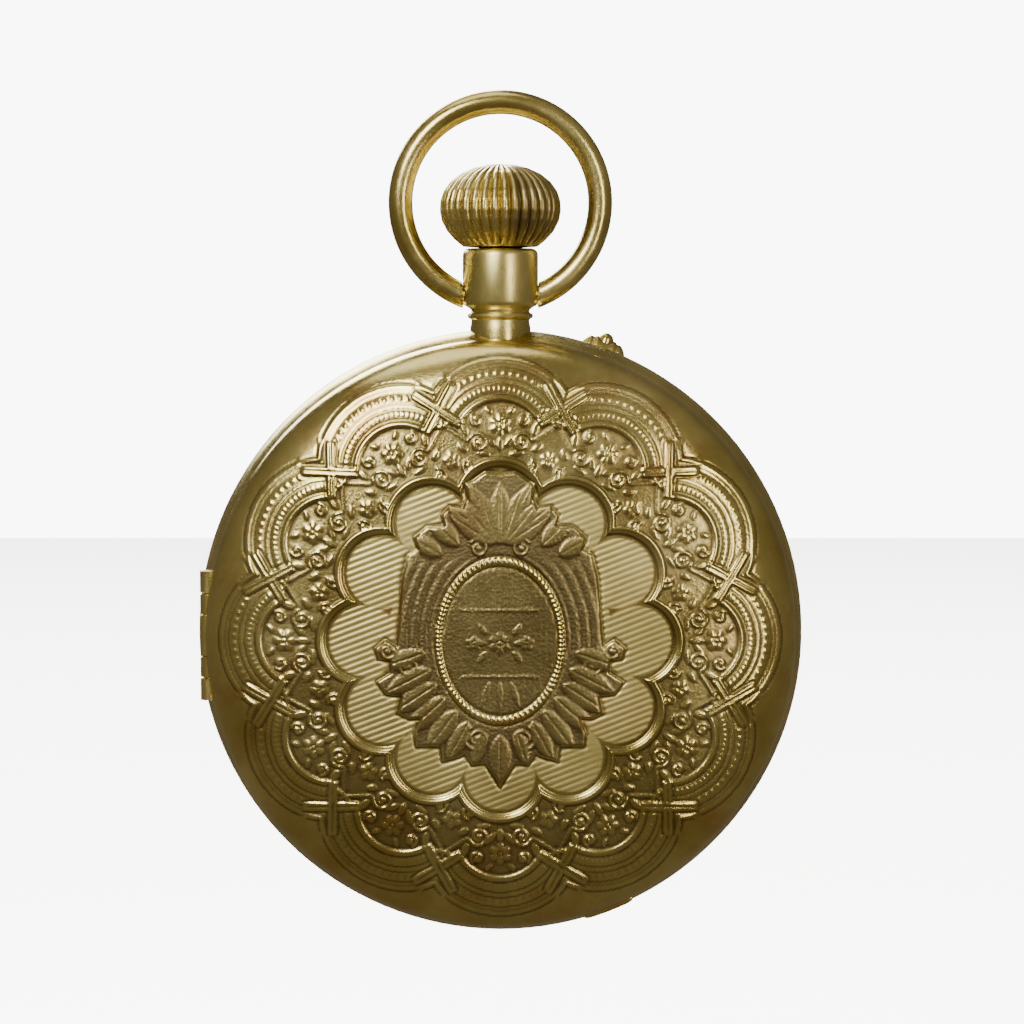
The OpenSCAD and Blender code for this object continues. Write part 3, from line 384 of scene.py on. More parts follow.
outer = sphere_cap(glass_r - 0.12, rise, seat_y - 0.4)
inner = sphere_cap(glass_r - 0.5, rise * 0.97, seat_y + 0.03)
glass_outline = [(glass_r - 0.02, seat_y), (glass_r - 0.02, seat_y - 0.32)] + outer + inner[::-1]
crystal = turned("crystal_dome", glass_outline, 160, 35, lathe_turn, centre)
wire, shader, clear = begin("clear_glass")
dust = noise(wire, wire.node("ShaderNodeTexCoord", out=3), 1.2 * mm, 5).clamp(0.55, 0.8)
join(shader, "Base Color", mix(wire, dust, (0.98, 1.0, 0.99), (0.93, 0.95, 0.94)))
join(shader, "Roughness", 0.03 * dust)
shader.inputs["Transmission Weight"].default_value = 1
shader.inputs["IOR"].default_value = 1.5
fit(crystal, "bezel_frame", clear, "crystal", "crystal")

# ---------------------------------------------------------------- back cover
# A domed gold lid pressed from sheet, then engraved by hand and by the rose engine: twelve
# arches of strapwork, a floral ring on matted ground, and a lined medallion round a shield.
# It is two meshes that meet in the groove round the medallion.
foot, lid_r = 1.72, 16.0
dome_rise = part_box("back_cover")[1].y / mm - foot
wall, rim = 0.45, 0.55
bend = 2.8
lobes, lobe_r, lobe_at = 12, 2.296, 7.204
wedge = math.tau / lobes
arch_at, cross_at, plain_r = 10.5, 12.7, 15.2


def dome_height(r, radius=lid_r, up=dome_rise):
    """How far the pressed dome stands above its foot at a radius."""
    return up * np.clip(1 - np.clip(r / radius, 0, 1) ** bend, 0, 1) ** (1 / bend)


def scallop(angle):
    """Radius of the medallion's scalloped outline in a direction."""
    folded = (angle + wedge / 2) % wedge - wedge / 2
    return lobe_at * np.cos(folded) + np.sqrt(lobe_r ** 2 - (lobe_at * np.sin(folded)) ** 2)


def ridge(d, half):
    """A rounded line where the distance d is near nought."""
    return np.clip(1 - (d / half) ** 2, 0, 1)


def ramp(d, width):
    """From 0 to 1 as d passes across nought, within width."""
    t = np.clip(d / width + 0.5, 0, 1)
    return t * t * (3 - 2 * t)


def leaf(x, y, at, turn, length, half):
    """A leaf with a cut midrib, growing from a point; turn is measured from straight up."""
    dx, dy = x - at[0], y - at[1]
    along = dx * math.sin(turn) + dy * math.cos(turn)
    across = dx * math.cos(turn) - dy * math.sin(turn)
    t = np.clip(along / length, 0, 1)
    wide = half * np.sin(math.pi * t ** 0.8) ** 0.8 + 1e-6
    inside = (along > 0) & (along < length) & (np.abs(across) < wide)
    body = np.sqrt(np.clip(1 - (across / wide) ** 2, 0, 1))
    return np.where(inside, body * (0.65 + 0.35 * ramp(np.abs(across) - 0.05, 0.08)), 0)


def scroll(x, y, at, radius, hand=1, start=0.0, turns=1.4, half=0.1):
    """A coiled tendril with a bud in its middle."""
    dx, dy = (x - at[0]) * hand, y - at[1]
    d, angle = np.hypot(dx, dy), np.arctan2(dy, dx) - start
    height = ridge(d, 0.2 * radius + half)
    for coil in range(3):
        swept = (angle % math.tau) + math.tau * coil
        path = radius * (1 - 0.62 * swept / (math.tau * turns))
        height = np.maximum(height, np.where(swept < math.tau * turns, ridge(d - path, half), 0))
    return height


def flower(x, y, at, radius, petals):
    """A small flower: petals round a boss."""
    dx, dy = x - at[0], y - at[1]
    d, angle = np.hypot(dx, dy), np.arctan2(dx, dy)
    lobed = np.abs(np.cos(angle * petals / 2))
    edge = radius * (0.62 + 0.38 * lobed ** 0.6)
    petal = np.sqrt(np.clip(1 - (d / edge) ** 2, 0, 1)) * (0.45 + 0.55 * lobed ** 0.5)
    return np.maximum(petal * (d > 0.3 * radius), ridge(d, 0.27 * radius))


shield = np.array([
    (0, 8.9), (0.8, 9.0), (1.5, 8.5), (1.9, 8.4), (1.75, 7.6), (2.0, 7.1), (2.7, 7.2), (3.1, 6.7),
    (3.0, 6.2), (3.9, 6.1), (4.6, 5.5), (4.4, 4.9), (4.9, 4.6), (5.2, 3.4), (5.35, 1.4),
    (5.5, -0.3), (6.1, 0.1), (6.7, -0.4), (6.5, -1.0), (5.9, -1.1), (5.8, -1.7), (6.6, -2.2),
    (6.1, -2.9), (5.3, -3.0), (5.5, -3.9), (4.9, -4.2), (4.3, -4.2), (4.6, -5.0), (4.5, -5.7),
    (3.7, -5.7), (3.2, -5.7), (3.1, -6.5), (2.3, -6.3), (1.9, -6.1), (1.5, -6.7), (0.8, -6.6),
    (0, -7.9)])
shield = np.vstack([shield, shield[-2:0:-1] * (-1, 1)])


def inside_shield(x, y):
    """Distance in from the shield's outline, negative outside it."""
    best, odd = np.full(x.shape, 1e9), np.zeros(x.shape, bool)
    for (ax, ay), (bx, by) in zip(shield, np.roll(shield, -1, axis=0)):
        t = np.clip(((x - ax) * (bx - ax) + (y - ay) * (by - ay))
                    / ((bx - ax) ** 2 + (by - ay) ** 2), 0, 1)
        best = np.minimum(best, np.hypot(x - ax - t * (bx - ax), y - ay - t * (by - ay)))
        if ay != by:
            odd ^= ((ay > y) != (by > y)) & (x < (bx - ax) * (y - ay) / (by - ay) + ax)
    return np.where(odd, best, -best)


def cut_medallion(x, y):
    """Relief in mm, matting with a painted dark reflection on the oval's panel, and lining inside
    the scalloped outline.
    """
    r, angle = np.hypot(x, y), np.arctan2(x, y)
    lobe = (angle + wedge / 2) % wedge - wedge / 2
    to_lobe = np.hypot(r * np.sin(lobe), r * np.cos(lobe) - lobe_at)
    inside = np.where(r > lobe_at - 1.2, lobe_r - to_lobe, 2.0)
    height = -0.12 * ramp(inside - 0.13, 0.24)
    deep = inside_shield(x, y)
    field = ramp(inside - 0.42, 0.16) * ramp(-deep - 0.06, 0.12)
    lean, line_gap = math.radians(21), 0.31
    lining = np.cos(math.tau * (y * math.cos(lean) - x * math.sin(lean)) / line_gap)
    height += 0.011 * field * lining
    height += 0.05 * ramp(deep - 0.04, 0.12) - 0.035 * ridge(deep + 0.05, 0.1)
    mirrored = np.abs(x)
    oval = (np.hypot(x / 3.28, y / 4.26) - 1) * 3.7
    ground = ramp(deep - 0.12, 0.1) * (oval > 0.3)
    art = np.zeros(x.shape)
    for turn, length, half in ((0, 3.3, 0.7), (0.34, 3.0, 0.6), (0.68, 2.8, 0.6), (1.0, 2.8, 0.55)):
        art = np.maximum(art, leaf(mirrored, y, (0.3 * turn, 5.2), turn, length, half))
    for at, turn, length, half in (
            ((2.2, 5.1), 0.8, 2.5, 0.55), ((3.1, 4.6), 1.05, 2.0, 0.5),
            ((0.8, 6.8), 0.5, 1.9, 0.42), ((1.3, 6.1), 0.9, 2.1, 0.42),
            ((4.0, -0.6), 1.9, 2.6, 0.55), ((3.7, -1.5), 2.05, 2.8, 0.6),
            ((3.4, -2.3), 2.15, 2.9, 0.62), ((2.9, -3.0), 2.3, 2.9, 0.62),
            ((2.3, -3.7), 2.48, 2.8, 0.6), ((1.7, -4.3), 2.65, 2.5, 0.52),
            ((0.9, -4.9), 2.85, 2.0, 0.42), ((0.0, -5.0), math.pi, 2.9, 0.62)):
        art = np.maximum(art, leaf(mirrored, y, at, turn, length, half))
    for at, size, hand, start, turns, half in (
            ((1.2, -5.25), 0.72, -1, 2.0, 1.4, 0.1), ((6.0, -0.55), 0.52, 1, 1.2, 1.1, 0.11),
            ((4.85, -1.35), 0.55, -1, 2.6, 1.2, 0.1), ((1.15, 4.95), 0.5, 1, 0.6, 1.2, 0.09)):
        art = np.maximum(art, scroll(mirrored, y, at, size, hand, start, turns, half))
    flutes = ridge((oval * 1.7 % 1) - 0.5, 0.42) * (oval > 0.35)
    flutes = flutes * ramp(4.2 - y, 1.0) * ramp(y + 1.2, 1.2)
    height += ground * (0.075 * art + 0.03 * flutes * (art < 0.1))
    rope = 0.6 + 0.4 * np.cos(np.arctan2(x, y) * 88)
    height += (0.085 * ridge(oval, 0.19) * rope
               - 0.02 * ridge(oval - 0.27, 0.1) - 0.02 * ridge(oval + 0.27, 0.1))
    panel = oval < -0.3
    for line in (1.65, -1.9):
        height += panel * 0.03 * ridge(y - line, 0.09) * (mirrored < 2.05)
    band = panel & (y < 1.4) & (y > -1.65) & (mirrored < 1.95)
    posy = np.maximum(flower(mirrored, y, (0, -0.1), 0.62, 6),
                      flower(mirrored, y, (1.4, -0.1), 0.42, 5))
    for at, turn in (((0.72, 0.35), 0.6), ((0.72, -0.55), 2.5), ((0.72, -0.1), math.pi / 2)):
        posy = np.maximum(posy, leaf(mirrored, y, at, turn, 0.75, 0.15))
    height += band * 0.045 * posy
    for at in ((0, -2.2), (0.55, -2.15)):
        height += panel * 0.035 * leaf(mirrored, y, at, math.pi - at[0] * 0.6, 1.5, 0.16)
    upright = np.cos(math.tau * x / 0.3)
    height += panel * (~band) * 0.004 * upright
    # the 0.85 over the oval's panel darkens its colour as a painted dark reflection of the flat
    # centre; on the grounds the matting is the real dull finish
    matt = np.clip(ground * (1 - 0.35 * np.clip(art, 0, 1)), 0, 1) + 0.85 * panel
    return height, np.clip(matt, 0, 1), field


def cut_border(x, y):
    """Relief in mm and matting between the medallion and the plain edge."""
    r, angle = np.hypot(x, y), np.arctan2(x, y)
    lobe = (angle + wedge / 2) % wedge - wedge / 2
    fx, fy = np.abs(r * np.sin(lobe)), r * np.cos(lobe)
    cross = angle % wedge - wedge / 2
    out, side = r * np.cos(cross) - cross_at, r * np.sin(cross)
    beyond = r - scallop(angle)
    arch = np.hypot(fx, fy - arch_at)
    floral = np.maximum(ramp(2.25 - arch, 0.14), ramp(11.75 - r, 0.14))
    floral = floral * ramp(beyond - 0.3, 0.1)
    height = -0.06 * floral
    # bead round the medallion
    height += 0.05 * ridge(beyond - 0.16, 0.15)
    # arches
    outer = (1 - floral) * ramp(15.15 - r, 0.2) * (r > 11.0)
    lines = 0.045 * ridge(arch - 2.42, 0.15) - 0.03 * ridge(arch - 2.64, 0.06)
    turn = np.arctan2(fx, fy - arch_at)
    lines = lines + 0.04 * ridge(arch - 2.95, 0.17) * (0.55 + 0.45 * np.cos(turn * 68))
    lines = lines - 0.03 * ridge(arch - 3.2, 0.06) - 0.025 * ridge(arch - 3.5, 0.06)
    bead_r, bead_gap = 3.78, 0.42
    spot = ((turn * bead_r / bead_gap) % 1 - 0.5) * bead_gap
    lines = lines + 0.045 * ridge(np.hypot(spot, arch - bead_r), 0.13)
    lines = lines - 0.025 * ridge(arch - 4.05, 0.06) + 0.035 * ridge(arch - 4.42, 0.1)
    lines = lines - 0.03 * ridge(arch - 4.62, 0.06)
    slant = math.radians(43)
    one = out * math.sin(slant) - side * math.cos(slant)
    two = out * math.sin(slant) + side * math.cos(slant)
    run_one = out * math.cos(slant) + side * math.sin(slant)
    run_two = out * math.cos(slant) - side * math.sin(slant)
    strap_height, strap_mask, gutter = (np.zeros(x.shape) for _ in range(3))
    for d, run in ((one, run_one), (two, run_two)):
        reach = ramp(1.5 - np.abs(run - 0.1), 0.12)
        band = ramp(0.24 - np.abs(d), 0.08) * reach
        edge = 0.045 * ridge(np.abs(d) - 0.14, 0.08) * reach
        strap_height = np.where(band > 0.4, 0.02 + edge, strap_height)
        strap_mask = np.maximum(strap_mask, band)
        gutter = np.maximum(
            gutter, ridge(np.abs(d) - 0.31, 0.08) * ramp(1.62 - np.abs(run - 0.1), 0.1))
    height += outer * lines * (1 - strap_mask) - 0.035 * gutter * (1 - strap_mask)
    height = height * (1 - strap_mask) + strap_mask * strap_height
    nearer, further = np.maximum(one, two), np.minimum(one, two)
    v_in = ridge(nearer + 0.56, 0.09) * (nearer < 0) * (out > -2.0)
    v_out = ridge(further - 0.6, 0.09) * (further > 0) * (out < 1.75)
    height += 0.05 * v_in + 0.04 * v_out * (1 - strap_mask)
    # flowers, scrolls and leaves on the matted ground
    art = np.maximum(flower(fx, fy, (0, 11.5), 0.62, 6),
                     0.9 * flower(side, out, (0, -2.75), 0.5, 5))
    art = np.maximum(art, scroll(fx, fy, (1.15, 10.55), 0.52, 1, 0.3, 1.3, 0.1))
    art = np.maximum(art, scroll(fx, fy, (1.25, 11.75), 0.34, -1, 2.2, 1.1, 0.09))
    art = np.maximum(art, scroll(np.abs(side), out, (0.78, -3.35), 0.36, 1, 1.2, 1.2, 0.09))
    for at, turn_to, length, half in (
            ((0.0, 10.1), 0.0, 0.8, 0.2), ((0.25, 10.35), 0.7, 0.8, 0.16),
            ((1.75, 10.9), 0.35, 0.9, 0.2), ((0.45, 12.1), 0.8, 0.5, 0.13),
            ((1.7, 10.1), 1.0, 0.7, 0.17), ((0.5, 9.95), 1.5, 0.8, 0.13)):
        art = np.maximum(art, leaf(fx, fy, at, turn_to, length, half) * 0.85)
    art = art * floral * (1 - strap_mask)
    height += 0.085 * art
    matt = np.clip(floral * (1 - 1.7 * art) * (1 - strap_mask), 0, 1)
    return height, matt


def lay(piece, x, y, height, lift, **masks):
    """Puts a piece's points on the dome and keeps its patina and matting masks, with the painted
    reflection in the matting mask, as attributes.
    """
    points = np.empty((len(x), 3))
    points[:, 0], points[:, 2] = -x * mm, y * mm + centre.z
    points[:, 1] = (foot + height + lift) * mm
    piece.data.vertices.foreach_set("co", points.ravel())
    for name, values in masks.items():
        layer = piece.data.attributes.new(name, "FLOAT", "POINT")
        layer.data.foreach_set("value", np.ascontiguousarray(values, np.float32))
    piece.data.update()


def blur(grid, reach, wrap):
    """A moving average over a grid of heights."""
    for axis, closed in ((0, wrap[0]), (1, wrap[1])):
        before = np.take(grid, range(-reach, 0) if closed else [0] * reach, axis)
        after = np.take(grid, range(reach) if closed else [-1] * reach, axis)
        total = np.cumsum(np.concatenate([before, grid, after], axis), axis)
        size = grid.shape[axis]
        high = np.take(total, range(2 * reach, 2 * reach + size), axis)
        low = np.take(total, range(0, size), axis)
        grid = (high - low) / (2 * reach)
    return grid


def tidy_shell(piece, name, smooth=60):
    """Closes the seams of a shaped primitive and turns its faces outwards."""
    bpy.ops.object.select_all(action="DESELECT")
    piece.select_set(True)
    bpy.context.view_layer.objects.active = piece
    bpy.ops.object.mode_set(mode="EDIT")
    bpy.ops.mesh.select_all(action="SELECT")
    bpy.ops.mesh.remove_doubles(threshold=0.0005 * mm)
    bpy.ops.mesh.select_all(action="SELECT")
    bpy.ops.mesh.normals_make_consistent(inside=False)
    bpy.ops.object.mode_set(mode="OBJECT")
    set_down(piece, name)
    bpy.ops.object.shade_smooth_by_angle(angle=math.radians(smooth))


# the border: a grid rolled into a ring, whose section is closed over the lid's wall
around, relief_rows = 1020, 74
rim_rows, under_rows = 7, 8
section = relief_rows + rim_rows + under_rows + 1
bpy.ops.object.select_all(action="DESELECT")
bpy.ops.mesh.primitive_grid_add(x_subdivisions=around, y_subdivisions=section, size=2)
border = bpy.context.object
flat = np.empty(len(border.data.vertices) * 3)
border.data.vertices.foreach_get("co", flat)
column = np.rint((flat[0::3] + 1) / 2 * around).astype(int) % around
row = np.rint((flat[1::3] + 1) / 2 * section).astype(int) % section
turn = column * math.tau / around
inner_edge = scallop(turn)
share = np.clip(row / (relief_rows - 1), 0, 1)
r = inner_edge + share * (plain_r - inner_edge)
start_t = math.asin((plain_r / lid_r) ** (bend / 2))
t = start_t + np.clip((row - relief_rows + 1) / (rim_rows - 1), 0, 1) * (math.pi / 2 - start_t)
r = np.where(row >= relief_rows, lid_r * np.sin(t) ** (2 / bend), r)
x, y = r * np.sin(turn), r * np.cos(turn)
cut, matt = cut_border(x, y)
on_top = row < relief_rows
cut, matt = np.where(on_top, cut, 0), np.where(on_top, matt, 0)
grid = np.zeros((around, section))
grid[column, row] = cut
grid[:, relief_rows:] = 0
cavity = np.clip((blur(grid, 3, (True, False)) - grid) / 0.02, 0, 1)[column, row]
height = dome_height(r)
under = row >= relief_rows + rim_rows
k = np.clip((row - relief_rows - rim_rows) / under_rows, 0, 1)
inner_r = (lid_r - rim) * (1 - k) + inner_edge * k
r = np.where(under, inner_r, r)
height = np.where(under, dome_height(inner_r, lid_r - rim, dome_rise - wall), height)
x, y = r * np.sin(turn), r * np.cos(turn)
lay(border, x, y, height, cut, grime=cavity, matting=0.45 * matt, lining=np.zeros(len(x)))
tidy_shell(border, "back_cover_border")

# the medallion: a grid drawn out to the scalloped outline, with a rim and an underside
across = 292
bpy.ops.object.select_all(action="DESELECT")
bpy.ops.mesh.primitive_grid_add(x_subdivisions=across, y_subdivisions=across, size=2)
medallion = bpy.context.object
flat = np.empty(len(medallion.data.vertices) * 3)
medallion.data.vertices.foreach_get("co", flat)
a, b = flat[0::3], flat[1::3]
wide = np.abs(a) > np.abs(b)
reach = np.where(wide, a, b)
safe = np.where(np.abs(reach) < 1e-9, 1, reach)
swing = np.where(wide, math.pi / 4 * b / safe, math.pi / 2 - math.pi / 4 * a / safe)
x, y = reach * np.cos(swing), reach * np.sin(swing)
spread = scallop(np.arctan2(x, y))
x, y = x * spread, y * spread
cut, matt, lined = cut_medallion(x, y)
edge_cut = cut_border(x, y)[0]
seam = ramp(np.hypot(x, y) - spread + 0.06, 0.1)
cut = cut * (1 - seam) + edge_cut * seam
count = int(round(math.sqrt(len(x))))
square = cut.reshape(count, count)
cavity = np.clip((blur(square, 4, (False, False)) - square) / 0.02, 0, 1)
lay(medallion, x, y, dome_height(np.hypot(x, y)), cut, grime=cavity.ravel(), matting=matt,
    lining=lined)
bpy.context.view_layer.objects.active = medallion
bpy.ops.object.mode_set(mode="EDIT")
bpy.ops.mesh.select_all(action="SELECT")
bpy.ops.mesh.region_to_loop()
bpy.ops.mesh.extrude_region_move(TRANSFORM_OT_translate={"value": (0, -0.5 * mm, 0)})
for shrink in (0.7, 0.57, 0.3):
    bpy.ops.mesh.extrude_region_move(TRANSFORM_OT_translate={"value": (0, 0.05 * mm, 0)})
    bpy.ops.transform.resize(value=(shrink, 1, shrink), center_override=centre)
bpy.ops.mesh.edge_face_add()
bpy.ops.object.mode_set(mode="OBJECT")
tidy_shell(medallion, "back_cover_medallion")

# hinge knuckles and the ledge for a thumbnail
knuckle_at = Vector((15.75, 1.95, centre.z / mm))
knuckles = [turned("knuckle", [(0.26, 0.025), (0.44, 0.025), (0.5, 0.08), (0.5, 1.12),
                               (0.44, 1.175), (0.26, 1.175)], 32, 40, (0, 0, 0),
                   (knuckle_at + Vector((0, 0, along))) * mm) for along in (-2.3, 1.1)]
bpy.ops.object.select_all(action="DESELECT")
bpy.ops.mesh.primitive_cube_add(size=1)
ledge = bpy.context.object
bpy.ops.object.mode_set(mode="EDIT")
bpy.ops.mesh.bevel(offset=0.16, segments=3)
bpy.ops.mesh.subdivide(number_cuts=5)
bpy.ops.object.mode_set(mode="OBJECT")
ledge_turn, ledge_wide, ledge_r, ledge_out = 248.5, 10, 15.95, 0.62
for point in ledge.data.vertices:
    turn_to = math.radians(ledge_turn + ledge_wide * point.co.x)
    out = ledge_r + ledge_out * point.co.z
    point.co = Vector((math.cos(turn_to) * out, foot + 0.16 + 0.3 * point.co.y,
                       math.sin(turn_to) * out + centre.z / mm)) * mm
tidy_shell(ledge, "ledge", 40)
gather("back_cover_border", [border, ledge] + knuckles)


def engraved_finish():
    """Gold with worn patina: bright on the relief, brown in the cuts, dull on the matting, and
    darkened on the medallion's panel as a painted dark reflection.
    """
    wire, shader, made = begin("engraved_gold")
    place = wire.node("ShaderNodeTexCoord", out=3)
    dirt = wire.node("ShaderNodeAttribute", attribute_name="grime", out=2)
    dull_and_painted_reflection = wire.node("ShaderNodeAttribute", attribute_name="matting", out=2)
    lined = wire.node("ShaderNodeAttribute", attribute_name="lining", out=2)
    cloud = noise(wire, place, 5 * mm, 4).clamp(0.35, 0.68)
    blush = noise(wire, place, 3.2 * mm, 5, 0.6).clamp(0.5, 0.72)
    tone = mix(wire, cloud, deep_gold, pale_gold)
    tone = mix(wire, 0.55 * blush, tone, copper_tint)
    tone = mix(wire, 0.5 * lined, tone, (0.92, 0.80, 0.33))
    # dull brown of the matting; on the medallion's panel, where the mask is 0.85, this darkening is
    # a painted dark reflection
    tone = mix(wire, 0.88 * dull_and_painted_reflection, tone, (0.21, 0.165, 0.08))
    tone = mix(wire, 0.75 * dirt, tone, grime)
    dot = wire.node("ShaderNodeTexVoronoi", {"Vector": place, "Scale": 1 / (0.16 * mm)})
    fine = noise(wire, place, 0.35 * mm, 6, 0.7, (1, 3, 5)).clamp(0.45, 0.8)
    join(shader, "Base Color", tone)
    join(shader, "Roughness", 0.15 + 0.08 * cloud + 0.16 * dull_and_painted_reflection + 0.1 * dirt + 0.08 * fine
         + 0.2 * lined)
    shader.inputs["Metallic"].default_value = 1
    rough_bump = wire.node("ShaderNodeBump", {"Strength": 0.8, "Distance": 0.02 * mm,
                                              "Height": dot * dull_and_painted_reflection})
    join(shader, "Normal", wire.node("ShaderNodeBump", {
        "Strength": 0.12, "Distance": 0.02 * mm, "Height": fine, "Normal": rough_bump}))
    return made


engraved_gold = engraved_finish()
fit(border, "back_lid", engraved_gold, "engraved_gold", "back_cover")
fit(medallion, "back_lid", engraved_gold, "engraved_gold")

# ---------------------------------------------------------------- pendant
# The neck and barrel that carry the bow and guide the winding stem. It is turned from gold
# rod, with a bead where it leaves the case, and soldered into the band.
pendant_lo, pendant_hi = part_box("pendant")
up = centre.z / mm
barrel_r = (pendant_hi.x - pendant_lo.x) / 2 / mm
pendant = turned("pendant_barrel", [(out, along + up) for out, along in (
    (0.75, 15.6), (1.64, 15.6), (1.64, 16.6), (1.6, 16.8), (1.58, 17.02), (1.63, 17.08),
    (1.74, 17.13), (1.79, 17.24), (1.74, 17.36), (1.63, 17.41), (1.58, 17.47), (1.6, 17.58),
    (1.78, 17.72), (1.98, 17.82), (barrel_r - 0.03, 17.92), (barrel_r, 18.05),
    (barrel_r, 20.55), (barrel_r - 0.04, 20.72), (barrel_r - 0.16, 20.85),
    (barrel_r - 0.32, 20.9), (1.25, 20.9), (1.16, 20.8), (1.16, 19.5), (0.75, 19.5))], 96, 30)
fit(pendant, "case", gold, "case_gold", "pendant")

# ---------------------------------------------------------------- crown
# The winding crown, a ball-shaped gold shell with rounded flutes from foot to pole, for a
# thumb to turn. It is fixed on the end of the steel stem, and its -X half is painted darker as
# painted shade.
flutes = 34
crown_foot, crown_top = (end.z / mm + grow for end, grow in zip(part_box("crown"), (-0.02, 0.02)))
crown_shape = [(0.0, 1.05), (0.012, 2.0), (0.03, 2.12), (0.1, 2.5), (0.2, 2.9), (0.32, 3.18),
               (0.44, 3.29), (0.56, 3.26), (0.68, 3.08), (0.79, 2.72), (0.88, 2.2), (0.95, 1.5),
               (0.985, 0.8), (1.0, 0.0)]
bpy.ops.object.select_all(action="DESELECT")
bpy.ops.mesh.primitive_uv_sphere_add(segments=flutes * 10, ring_count=90, radius=mm)
crown = bpy.context.object
flat = np.empty(len(crown.data.vertices) * 3)
crown.data.vertices.foreach_get("co", flat)
ball = flat.reshape(-1, 3) / mm
swing = np.arctan2(ball[:, 1], ball[:, 0])
climb = np.arccos(np.clip(-ball[:, 2], -1, 1)) / math.pi
level = 0.5 - 0.5 * np.cos(math.pi * climb)
out = np.interp(level, [p[0] for p in crown_shape], [p[1] for p in crown_shape])
out = np.where((climb <= 0) | (climb >= 1), 0, out)
valley = 1 - np.abs(np.cos(swing * flutes / 2)) ** 0.6
deep = 0.26 * np.clip((out - 0.5) / 1.5, 0, 1) * np.clip((level - 0.02) / 0.08, 0, 1)
out = out - deep * valley
ball[:, 0], ball[:, 1] = out * np.cos(swing), out * np.sin(swing)
ball[:, 2] = crown_foot + level * (crown_top - crown_foot)
crown.data.vertices.foreach_set("co", (ball * mm).ravel())
crown.data.update()
# painted shade: a darker colour over the crown's -X half
painted_shade = crown.data.attributes.new("painted_shade", "FLOAT", "POINT")
painted_shade.data.foreach_set("value", np.clip((-0.35 - ball[:, 0]) / 0.5, 0, 1))
tidy_shell(crown, "crown_fluted", 50)
wire, shader, fluted_gold = begin("fluted_gold")
place = wire.node("ShaderNodeTexCoord", out=3)
cloud = noise(wire, place, 2.5 * mm, 4).clamp(0.35, 0.68)
worn = noise(wire, place, 0.5 * mm, 5, 0.65).clamp(0.4, 0.75)
painted_shade_mask = wire.node("ShaderNodeAttribute", attribute_name="painted_shade", out=2)
tone = mix(wire, 0.3 * worn, mix(wire, cloud, deep_gold, pale_gold), copper_tint)
# the base colour is mixed towards dark brown by the painted shade on the -X half
join(shader, "Base Color", mix(wire, 0.7 * painted_shade_mask, tone, (0.16, 0.11, 0.05)))
join(shader, "Roughness", 0.24 + 0.14 * worn + 0.1 * painted_shade_mask)
shader.inputs["Metallic"].default_value = 1
join(shader, "Normal", wire.node("ShaderNodeBump", {
    "Strength": 0.12, "Distance": 0.02 * mm, "Height": worn}))
fit(crown, "winder", fluted_gold, "case_gold", "crown")

# ---------------------------------------------------------------- bow
# A ring of round gold wire whose thinner ends spring into the pendant's sides and turn
# there. It is bent, rounded by filing and polished, and takes the ribbon or chain.
bow_lo, bow_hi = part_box("bow")
wire_r = (bow_hi.y - bow_lo.y) / 2
ring_r = (bow_hi.x - bow_lo.x) / 2 - wire_r
bow_at = Vector((0, 0, bow_hi.z - ring_r - wire_r))
cheek = barrel_r * mm + 0.08 * mm
bpy.ops.object.select_all(action="DESELECT")
bpy.ops.mesh.primitive_torus_add(major_segments=180, minor_segments=40, major_radius=ring_r,
                                 minor_radius=wire_r, location=bow_at,
                                 rotation=(math.pi / 2, 0, 0))
bow = set_down(bpy.context.object, "bow_ring_wire", tuple(bpy.context.object.rotation_euler),
               tuple(bpy.context.object.location))
bpy.ops.object.mode_set(mode="EDIT")
for end in (-1, 1):
    bpy.ops.mesh.select_all(action="SELECT")
    bpy.ops.mesh.bisect(plane_co=(end * cheek, 0, 0), plane_no=(1, 0, 0))
bpy.ops.mesh.select_all(action="DESELECT")
bpy.ops.object.mode_set(mode="OBJECT")
for face in bow.data.polygons:
    face.select = abs(face.center.x) < cheek and face.center.z < bow_at.z
bpy.ops.object.mode_set(mode="EDIT")
bpy.ops.mesh.select_mode(type="FACE")
bpy.ops.mesh.delete(type="FACE")
bpy.ops.mesh.select_mode(type="VERT")
for end in (-1, 1):
    bpy.ops.mesh.select_all(action="DESELECT")
    bpy.ops.mesh.select_non_manifold()
    bpy.ops.object.mode_set(mode="OBJECT")
    for point in bow.data.vertices:
        point.select = point.select and point.co.x * end > 0
    for edge in bow.data.edges:
        edge.select = all(bow.data.vertices[i].select for i in edge.vertices)
    middle = sum((p.co for p in bow.data.vertices if p.select), Vector()) / max(
        1, sum(p.select for p in bow.data.vertices))
    bpy.ops.object.mode_set(mode="EDIT")
    bpy.ops.mesh.extrude_region_move(TRANSFORM_OT_translate={"value": (-end * 0.05 * mm, 0, 0)})
    bpy.ops.transform.resize(value=(1, 0.72, 0.62), center_override=middle)
    bpy.ops.mesh.extrude_region_move(TRANSFORM_OT_translate={"value": (-end * 0.75 * mm, 0, 0)})
    bpy.ops.mesh.edge_face_add()
bpy.ops.object.mode_set(mode="OBJECT")
tidy_shell(bow, "bow_ring_wire", 45)
bow_gold = gold_finish("bow_gold", 0.17, 0.6, 0.5)
fit(bow, "bow_ring", bow_gold, "case_gold", "bow")

